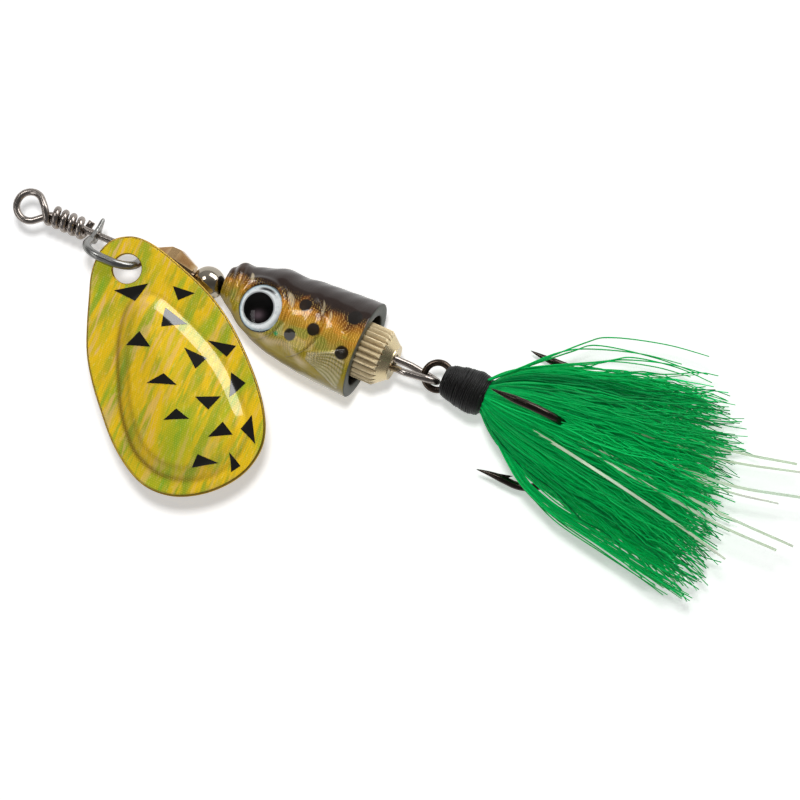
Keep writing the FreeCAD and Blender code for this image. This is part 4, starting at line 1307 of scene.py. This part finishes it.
def winding(start_x, end_x, turns, lift, seed):
    rng = np.random.default_rng(seed)
    t = np.linspace(0, 1, int(turns * 30))
    x = start_x + (end_x - start_x) * t + np.interp(t, np.linspace(0, 1, 40),
                                                    rng.normal(0, 0.035, 40))
    angle = 2 * np.pi * turns * t
    lean = 0.10 * np.sin(angle + 1.0)
    radius = np.interp(x, WRAP_X, WRAP_R) + lift + np.interp(t, np.linspace(0, 1, 60),
                                                             rng.normal(0, 0.02, 60))
    path = np.stack([x + lean * 0.6, -radius * np.cos(angle),
                     TREBLE_Z + radius * np.sin(angle)], 1)
    return tube(path, THREAD_R, 6)


def build_wrap():
    core = [(52.85, 0.3)] + [(x, r - 0.06) for x, r in zip(WRAP_X, WRAP_R)] + [(58.15, 0.3)]
    shape = merge([lathe(core, 48, centre_z=TREBLE_Z),
                   winding(52.8, 58.1, turns=27, lift=0.0, seed=1),
                   winding(58.0, 53.2, turns=22, lift=0.10, seed=2),
                   winding(54.6, 57.8, turns=13, lift=0.17, seed=3)])
    add_part("thread_windings", shape, black_thread(), "treble_body", "black_thread",
             replaces="thread_wrap")


build_wrap()

# =============================================================== hair
HAIRS_PER_BUNDLE, LOOSE_HAIRS, FRINGE_HAIRS = 425, 70, 30
HAIR_ROOT_X, HAIR_SIDES = 56.9, 4
# Long hairs rising above the skirt: end x, end z, bend x, bend z.
HIGH_HAIRS = ((80.6, 14.9, 69.0, 12.4), (80.2, 12.6, 68.0, 11.0), (79.6, 11.9, 70.0, 9.8),
              (81.5, 12.9, 71.0, 10.6), (78.0, 12.9, 67.0, 10.2), (82.0, 12.2, 72.0, 11.3))
# Course of the fringe on the belly side, (x, z) square to the camera.
FRINGE = ((57.2, -0.5), (59.9, -2.6), (62.0, -4.2), (65.0, -6.3), (67.6, -7.6), (71.5, -8.9),
          (77.6, -9.9), (84.8, -11.1), (88.0, -11.7))


def green_hair():
    mat = new_material("green_hair")
    tone = mat.attribute("tone")
    fibre = mat.noise(scale=5000, detail=3, rough=0.6, stretch=(0.2, 1, 1))
    shade = mat.add(tone, mat.times(mat.math("SUBTRACT", fibre, 0.5), 0.35))
    colour = mat.ramp(shade, [(0.0, "#00552b"), (0.3, "#009549"), (0.6, "#00b257"),
                              (0.85, "#04c163"), (1.0, "#2fd582")])
    # the hair also glows faintly in its own colour: painted light that lifts its shaded parts
    surface = mat.principled(
        Base_Color=colour, Roughness=mat.span(fibre, gain=0.2, base=0.40),
        Specular_IOR_Level=0.22, Normal=mat.bump(fibre, strength=0.2),
        Emission_Color=colour, Emission_Strength=0.27)
    through = mat.node("ShaderNodeBsdfTranslucent", {0: colour}).outputs[0]
    return mat.finish(mat.mix_shader(0.30, surface, through))


def skirt_radius(distance):
    return 1.6 + 3.3 * (1 - np.exp(-distance / 3.2)) + 0.245 * distance


def strand_mesh(paths, radii):
    """Thin four-sided tubes: paths (hairs, points, 3) and radii (hairs, points)."""
    count, points, _ = paths.shape
    sides = HAIR_SIDES
    tangent = np.gradient(paths, axis=1)
    tangent /= np.linalg.norm(tangent, axis=2)[:, :, None]
    across = np.cross(tangent, np.array([0.13, 0.21, 0.97]))
    across /= np.linalg.norm(across, axis=2)[:, :, None]
    third = np.cross(tangent, across)
    angle = (np.linspace(0, 2 * np.pi, sides, endpoint=False) + 0.4)[None, None, :, None]
    verts = paths[:, :, None, :] + radii[:, :, None, None] * (
        np.cos(angle) * across[:, :, None, :] + np.sin(angle) * third[:, :, None, :])
    start = np.arange(count)[:, None] * (points * sides)
    row = start[:, :, None] + np.arange(points - 1)[None, :, None] * sides
    k = np.arange(sides)[None, None, :]
    l = (k + 1) % sides
    walls = np.stack([row + k, row + l, row + sides + l, row + sides + k], -1).reshape(-1, 4)
    root_caps = start + np.arange(sides)[None, ::-1]
    tip_caps = start + (points - 1) * sides + np.arange(sides)[None, :]
    return verts.reshape(-1, 3), np.concatenate([walls, root_caps, tip_caps])


def add_hair(name, paths, radii, tone):
    """Hair object, filled straight from arrays because it is large."""
    verts, faces = strand_mesh(paths, radii)
    mesh = bpy.data.meshes.new(name)
    count, corners = faces.shape
    mesh.vertices.add(len(verts))
    mesh.vertices.foreach_set("co", (verts * MM).astype(np.float32).ravel())
    mesh.loops.add(count * corners)
    mesh.loops.foreach_set("vertex_index", faces.astype(np.int32).ravel())
    mesh.polygons.add(count)
    mesh.polygons.foreach_set("loop_start", (np.arange(count) * corners).astype(np.int32))
    mesh.polygons.foreach_set("loop_total", np.full(count, corners, np.int32))
    mesh.polygons.foreach_set("use_smooth", [True] * count)
    mesh.update(calc_edges=True)
    mesh.validate()
    layer = mesh.attributes.new("tone", "FLOAT", "POINT")
    layer.data.foreach_set("value", np.repeat(tone, paths.shape[1] * HAIR_SIDES)
                           .astype(np.float32))
    ob = bpy.data.objects.new(name, mesh)
    bpy.context.scene.collection.objects.link(ob)
    mesh.materials.append(hair_mat)
    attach(ob, "treble_body")
    return ob


def skirt_hairs(count, seed, stray=False):
    """Paths, radii and tones of hairs gathered in locks round the treble's axis."""
    rng = np.random.default_rng(seed)
    locks = max(6, count // 9)
    lock = rng.integers(0, locks, count)
    lock_angle = rng.uniform(0, 2 * np.pi, locks)
    lock_spread = rng.uniform(0, 1, locks) ** 0.52
    lock_drift = rng.normal(0, 1, (locks, 2))
    angle = lock_angle[lock] + rng.normal(0, 0.10, count)
    spread = np.clip(lock_spread[lock] + rng.normal(0, 0.06, count), 0, 1.0)
    dir_z, dir_y = np.sin(angle), -np.cos(angle)
    # flatter on the +Y side, which rests on the table
    flat = np.where(dir_y > 0, 0.62, 0.86)
    end_z = spread * dir_z
    end_x = (85.6 - 3.6 * np.clip(end_z, 0, 1) ** 1.5 + 1.4 * np.clip(-end_z, 0, 1)
             + rng.normal(0, 1.3, locks)[lock] + rng.normal(0, 1.1, count)
             - 11.0 * rng.uniform(0, 1, count) ** 3)
    if stray:
        spread = rng.uniform(0.9, 1.10, count)
        end_x = end_x + rng.uniform(-9, 0.5, count)
    s = np.linspace(0, 1, 18)
    x = HAIR_ROOT_X + (end_x - HAIR_ROOT_X)[:, None] * s[None, :]
    distance = np.clip(x - 57.9, 0, None)
    radius = (spread[:, None] * skirt_radius(distance)
              * (1 - 0.10 * np.clip(-dir_z, 0, 1)[:, None]))
    radius *= np.minimum(1.0, 0.70 + distance / 1.8)
    # each lock and hair leaves the common direction a little, more toward its tip
    drift_z = (lock_drift[lock, 0] * 0.75 + rng.normal(0, 1, count) * 0.80)[:, None] * s ** 1.5
    drift_y = (lock_drift[lock, 1] * 0.62 + rng.normal(0, 1, count) * 0.60)[:, None] * s ** 1.5
    phase = rng.uniform(0, 6.28, (count, 1))
    rate = rng.uniform(0.35, 0.8, (count, 1))
    curl = (0.42 * np.sin(x * rate + phase) * s ** 1.2
            + 0.12 * np.sin(x * rate * 2.7 + 2 * phase) * s)
    z = TREBLE_Z + radius * dir_z[:, None] + drift_z + curl - 0.35 * s ** 1.5
    y = radius * dir_y[:, None] * flat[:, None] + drift_y + 0.6 * curl
    radii = rng.uniform(0.074, 0.112, count)[:, None] * (1 - 0.42 * s ** 3)[None, :]
    tone = np.clip(rng.normal(0.50, 0.13, locks)[lock] + rng.normal(0, 0.13, count), 0, 1)
    return np.stack([x, y, z], 2), radii, tone


def high_hairs(rng):
    paths = []
    for end_x, end_z, bend_x, bend_z in HIGH_HAIRS:
        points = [(57.0, -1.0 + rng.normal(0, 0.4), TREBLE_Z + 1.2),
                  (60.5, -1.2 + rng.normal(0, 0.6), TREBLE_Z + 4.4),
                  (bend_x - 3.0, rng.normal(-1, 1), bend_z - 1.8),
                  (bend_x, rng.normal(-1.5, 1), bend_z),
                  ((bend_x + end_x) / 2, rng.normal(-1.5, 1), (bend_z + end_z) / 2 + 0.5),
                  (end_x, rng.normal(-1.5, 1), end_z)]
        paths.append(open_spline(points, 9)[:45])
    radii = 0.095 * (1 - 0.4 * np.linspace(0, 1, 45) ** 2)
    return np.array(paths), np.tile(radii, (len(paths), 1)), [0.55] * len(paths)


def fringe_hairs(rng):
    """Loose fringe that bows away along the belly side."""
    paths, radii, tone = [], [], []
    for i in range(FRINGE_HAIRS):
        lift = abs(rng.normal(0, 1.0)) * 1.15
        cut = rng.uniform(0.80, 1.0)
        depth = rng.uniform(-3.2, 0.6)
        phase = rng.uniform(0, 6.28)
        points = []
        for station, (x, z) in enumerate(FRINGE):
            t = station / 8.0
            point = from_view(57.2 + (x - 57.2) * cut, z, -1.3 + depth * t)
            point[2] += lift * t * 1.4 + 0.32 * math.sin(phase + 5.0 * t + i) * t ** 0.6
            point[2] += (1 - cut) * 2.0 * t
            points.append(point)
        path = open_spline(points, 5)[:40]
        paths.append(path)
        radii.append(rng.uniform(0.078, 0.108) * (1 - 0.4 * np.linspace(0, 1, len(path)) ** 3))
        tone.append(np.clip(rng.normal(0.55, 0.12), 0, 1))
    return np.array(paths), np.array(radii), np.array(tone)


def build_hair():
    bundles = [add_hair(f"hair_bundle_{i + 1}", *skirt_hairs(HAIRS_PER_BUNDLE, 100 + i))
               for i in range(4)]
    add_hair("hair_loose", *skirt_hairs(LOOSE_HAIRS, 200, stray=True))
    rng = np.random.default_rng(31)
    add_hair("hair_high", *high_hairs(rng))
    add_hair("hair_fringe", *fringe_hairs(rng))
    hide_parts("hair_skirt")


hair_mat = green_hair()
build_hair()

# =============================================================== flash strands
# Square to the camera: end x, z, middle x, z; then depth y, twist from and to (radians),
# and how far the strand bows toward the camera.
FLASH_STRANDS = ((91.9, 7.9, 84.5, 6.3, -4.5, (0.2, 0.7), 0.0),
                 (93.3, 7.4, 84.0, 5.0, -6.0, (0.1, 0.9), 0.0),
                 (94.4, 4.8, 85.0, 2.6, -7.0, (0.0, 0.5), 0.0),
                 (91.7, 3.0, 85.0, 1.9, -5.5, (0.3, 1.0), 0.0),
                 (95.0, -0.75, 86.0, -0.6, -6.5, (0.0, 0.7), 0.7),
                 (93.4, -1.9, 86.0, -1.8, -7.5, (0.2, 0.6), 1.7),
                 (88.6, -5.1, 82.0, -3.6, -8.0, (0.0, 0.8), 1.3))
FLASH_WIDTH, FLASH_THICK = 0.35, 0.05


def pearl_flash():
    mat = new_material("pearl_flash")
    cloud = mat.noise(scale=700, detail=3, rough=0.5, stretch=(0.5, 1, 1))
    facing = mat.node("ShaderNodeLayerWeight", {0: 0.4}).outputs["Facing"]
    colour = mat.ramp(mat.add(facing, mat.times(cloud, 0.5)),
                      [(0.2, "#c9dcc9"), (0.45, "#d2e0c4"), (0.6, "#d9d3cf"), (0.8, "#c4dccf"),
                       (1.0, "#dcdcbc")])
    clear = mat.node("ShaderNodeBsdfTransparent", {0: (0.93, 0.98, 0.94, 1)}).outputs[0]
    # the flash glows faintly in its own colour: painted light that keeps it pale against the table
    surface = mat.principled(Base_Color=colour, Roughness=0.18, Metallic=0.1,
                             Emission_Color=colour, Emission_Strength=0.14,
                             Normal=mat.bump(cloud, strength=0.2, distance=0.00005))
    return mat.finish(mat.mix_shader(mat.add(0.45, mat.times(cloud, 0.35)), clear, surface))


def ribbon(points, twist):
    path = open_spline(points, 10)
    count = len(path)
    tangent = np.gradient(path, axis=0)
    tangent /= np.linalg.norm(tangent, axis=1)[:, None]
    verts = []
    for i in range(count):
        angle = twist[0] + (twist[1] - twist[0]) * (i / (count - 1))
        u = np.cross(tangent[i], [0, 1, 0])
        u /= np.linalg.norm(u)
        v = np.cross(tangent[i], u)
        wide = math.cos(angle) * u + math.sin(angle) * v
        thin = np.cross(tangent[i], wide)
        for a, b in ((-1, -1), (1, -1), (1, 1), (-1, 1)):
            verts.append(path[i] + wide * (FLASH_WIDTH / 2) * a + thin * FLASH_THICK / 2 * b)
    faces = grid_faces(count, 4, wrap_rows=False)
    faces.append((3, 2, 1, 0))
    faces.append(tuple((count - 1) * 4 + k for k in range(4)))
    return np.array(verts), faces


def build_flash():
    mat = pearl_flash()
    for number, (end_x, end_z, mid_x, mid_z, y, twist, bow) in enumerate(FLASH_STRANDS, 1):
        end = from_view(end_x, end_z, y)
        middle = from_view(mid_x, mid_z, y)
        middle[1] = y * 0.95 - 0.9
        root = np.array([58.3, -1.6 + 0.1 * number, TREBLE_Z + 0.9 - 0.25 * number])
        near = root + (middle - root) * 0.26 + np.array([0, -0.9 - bow * 0.2, 0.4])
        far = root + (middle - root) * 0.60 + np.array([0, -0.9 - bow, 0.4])
        add_part(f"flash_ribbon_{number}", ribbon([root, near, far, middle, end], twist), mat,
                 "treble_body", "tinsel", replaces=f"flash_strand_{number}", smooth=False)


build_flash()

# =============================================================== camera
LENS, SENSOR = 300.0, 36.0
FIELD_WIDTH = 91.42857                          # mm seen across the picture at the target
TARGET = Vector((49.0, 0, -3.6))

to_camera = Vector((math.sin(VIEW_TURN), -math.cos(VIEW_TURN), 0))
level_right = Vector((math.cos(VIEW_TURN), math.sin(VIEW_TURN), 0))
level_up = Vector((0, 0, 1))
view_right = level_right * math.cos(VIEW_ROLL) + level_up * math.sin(VIEW_ROLL)
view_up = -level_right * math.sin(VIEW_ROLL) + level_up * math.cos(VIEW_ROLL)


def pose(place, x_axis, y_axis, z_axis):
    axes = Matrix((x_axis, y_axis, z_axis)).transposed().to_4x4()
    return Matrix.Translation(place) @ axes


def build_camera():
    data = bpy.data.cameras.new("camera")
    data.lens = LENS
    data.sensor_width = SENSOR
    data.clip_start = 0.01
    data.clip_end = 10.0
    camera = bpy.data.objects.new("camera", data)
    bpy.context.scene.collection.objects.link(camera)
    distance = FIELD_WIDTH * LENS / SENSOR
    camera.matrix_world = pose((TARGET + to_camera * distance) * MM, view_right, view_up,
                               to_camera)
    bpy.context.scene.camera = camera


build_camera()

# =============================================================== table
TABLE_Y, TABLE_HALF = 8.5, 900.0


def white_table():
    """Glowing white, clear from behind and to shadow rays."""
    mat = new_material("white_table")
    mottle = mat.noise(scale=300, detail=3, rough=0.5)
    matte = mat.principled(Base_Color=mat.mix(mat.times(mottle, 0.04), "#ffffff", "#f2f2f2"),
                           Roughness=0.6)
    # dimmer in reflections
    strength = mat.math("SUBTRACT", 0.42, mat.times(mat.light_path("Is Glossy Ray"), 0.22))
    glow = mat.node("ShaderNodeEmission", {"Strength": strength}).outputs[0]
    surface = mat.node("ShaderNodeAddShader", {0: matte, 1: glow}).outputs[0]
    clear = mat.node("ShaderNodeBsdfTransparent").outputs[0]
    hidden = mat.math("MAXIMUM", mat.geometry("Backfacing"), mat.light_path("Is Shadow Ray"))
    return mat.finish(mat.mix_shader(hidden, surface, clear))


table = build_mesh("table", np.array([(x * TABLE_HALF, TABLE_Y, z * TABLE_HALF) for x, z in
                                      ((-1, -1), (1, -1), (1, 1), (-1, 1))]),
                   [(0, 1, 2, 3)], white_table(), smooth=False)


# =============================================================== lights
def in_view(right, up, back):
    """Direction given along the camera's right, up and toward the camera."""
    return view_right * right + view_up * up + to_camera * back


def soft_box(name, direction, long_side, size, distance, power):
    """Area light (metres, watts) facing the lure, its width along long_side."""
    data = bpy.data.lights.new(name, "AREA")
    data.energy = power
    data.shape = "RECTANGLE"
    data.size, data.size_y = size
    lamp = bpy.data.objects.new(name, data)
    bpy.context.scene.collection.objects.link(lamp)
    z_axis = direction.normalized()
    x_axis = (long_side - z_axis * long_side.dot(z_axis)).normalized()
    lamp.matrix_world = pose(TARGET * MM + z_axis * distance, x_axis, z_axis.cross(x_axis),
                             z_axis)
    return lamp


def unlight(lamp, skipped):
    """Keep a lamp's light off some objects."""
    receivers = bpy.data.collections.new(lamp.name + "_receivers")
    for ob in skipped:
        receivers.objects.link(ob)
    lamp.light_linking.receiver_collection = receivers
    for entry in receivers.collection_objects:
        entry.light_linking.link_state = "EXCLUDE"


def build_lights():
    key = soft_box("key", in_view(0.50, 0.73, 0.47), in_view(-0.82, 0.57, 0),
                   size=(0.44, 0.21), distance=0.50, power=1.5)
    window = soft_box("window", in_view(-0.48, 0.55, 0.68), view_right,
                      size=(0.13, 0.13), distance=0.50, power=0.42)
    fill = soft_box("fill", in_view(-0.85, -0.20, 0.45), view_up,
                    size=(0.36, 0.12), distance=0.50, power=0.30)
    drop = soft_box("drop", in_view(-0.02, 0.15, 1.0), view_right,
                    size=(0.085, 0.085), distance=1.0, power=5.2)
    drop.visible_glossy = False
    # Only the drop lamp lights the table and throws the shadow there,
    # and the blade carries one long highlight, from the key.
    lenses = tuple(ob for ob in sorted(bpy.data.objects, key=lambda ob: ob.name)
                   if ob.name.startswith("eye_lens") and ob.type == "MESH")
    unlight(key, (table,))
    unlight(window, (table, film, marks) + lenses)
    unlight(fill, (table, film, marks))


def build_world():
    """White to the camera, a grey gradient along the picture's height to all else."""
    world = bpy.data.worlds.new("studio")
    bpy.context.scene.world = world
    sky = Graph(world, "ShaderNodeOutputWorld")
    white = sky.node("ShaderNodeBackground", {0: (1, 1, 1, 1), 1: 1.0}).outputs[0]
    height = sky.node("ShaderNodeVectorMath", {0: sky.geometry("Incoming"), 1: tuple(-view_up)},
                      operation="DOT_PRODUCT").outputs["Value"]
    ramp = sky.node("ShaderNodeValToRGB", {0: sky.map_range(height, -1, 1)})
    elements = ramp.color_ramp.elements
    elements[0].position, elements[1].position = 0.0, 1.0
    elements[0].color = (0.22, 0.22, 0.23, 1)
    elements[1].color = (0.36, 0.36, 0.36, 1)
    for position, grey in ((0.40, 0.10), (0.60, 0.12), (0.80, 0.24)):
        elements.new(position).color = (grey, grey, grey, 1)
    gradient = sky.node("ShaderNodeBackground", {0: ramp.outputs[0], 1: 1.0}).outputs[0]
    sky.finish(sky.mix_shader(sky.light_path("Is Camera Ray"), gradient, white))


build_lights()
build_world()

view = bpy.context.scene.view_settings
view.view_transform = "Standard"
view.look = "None"
view.exposure = 0.0
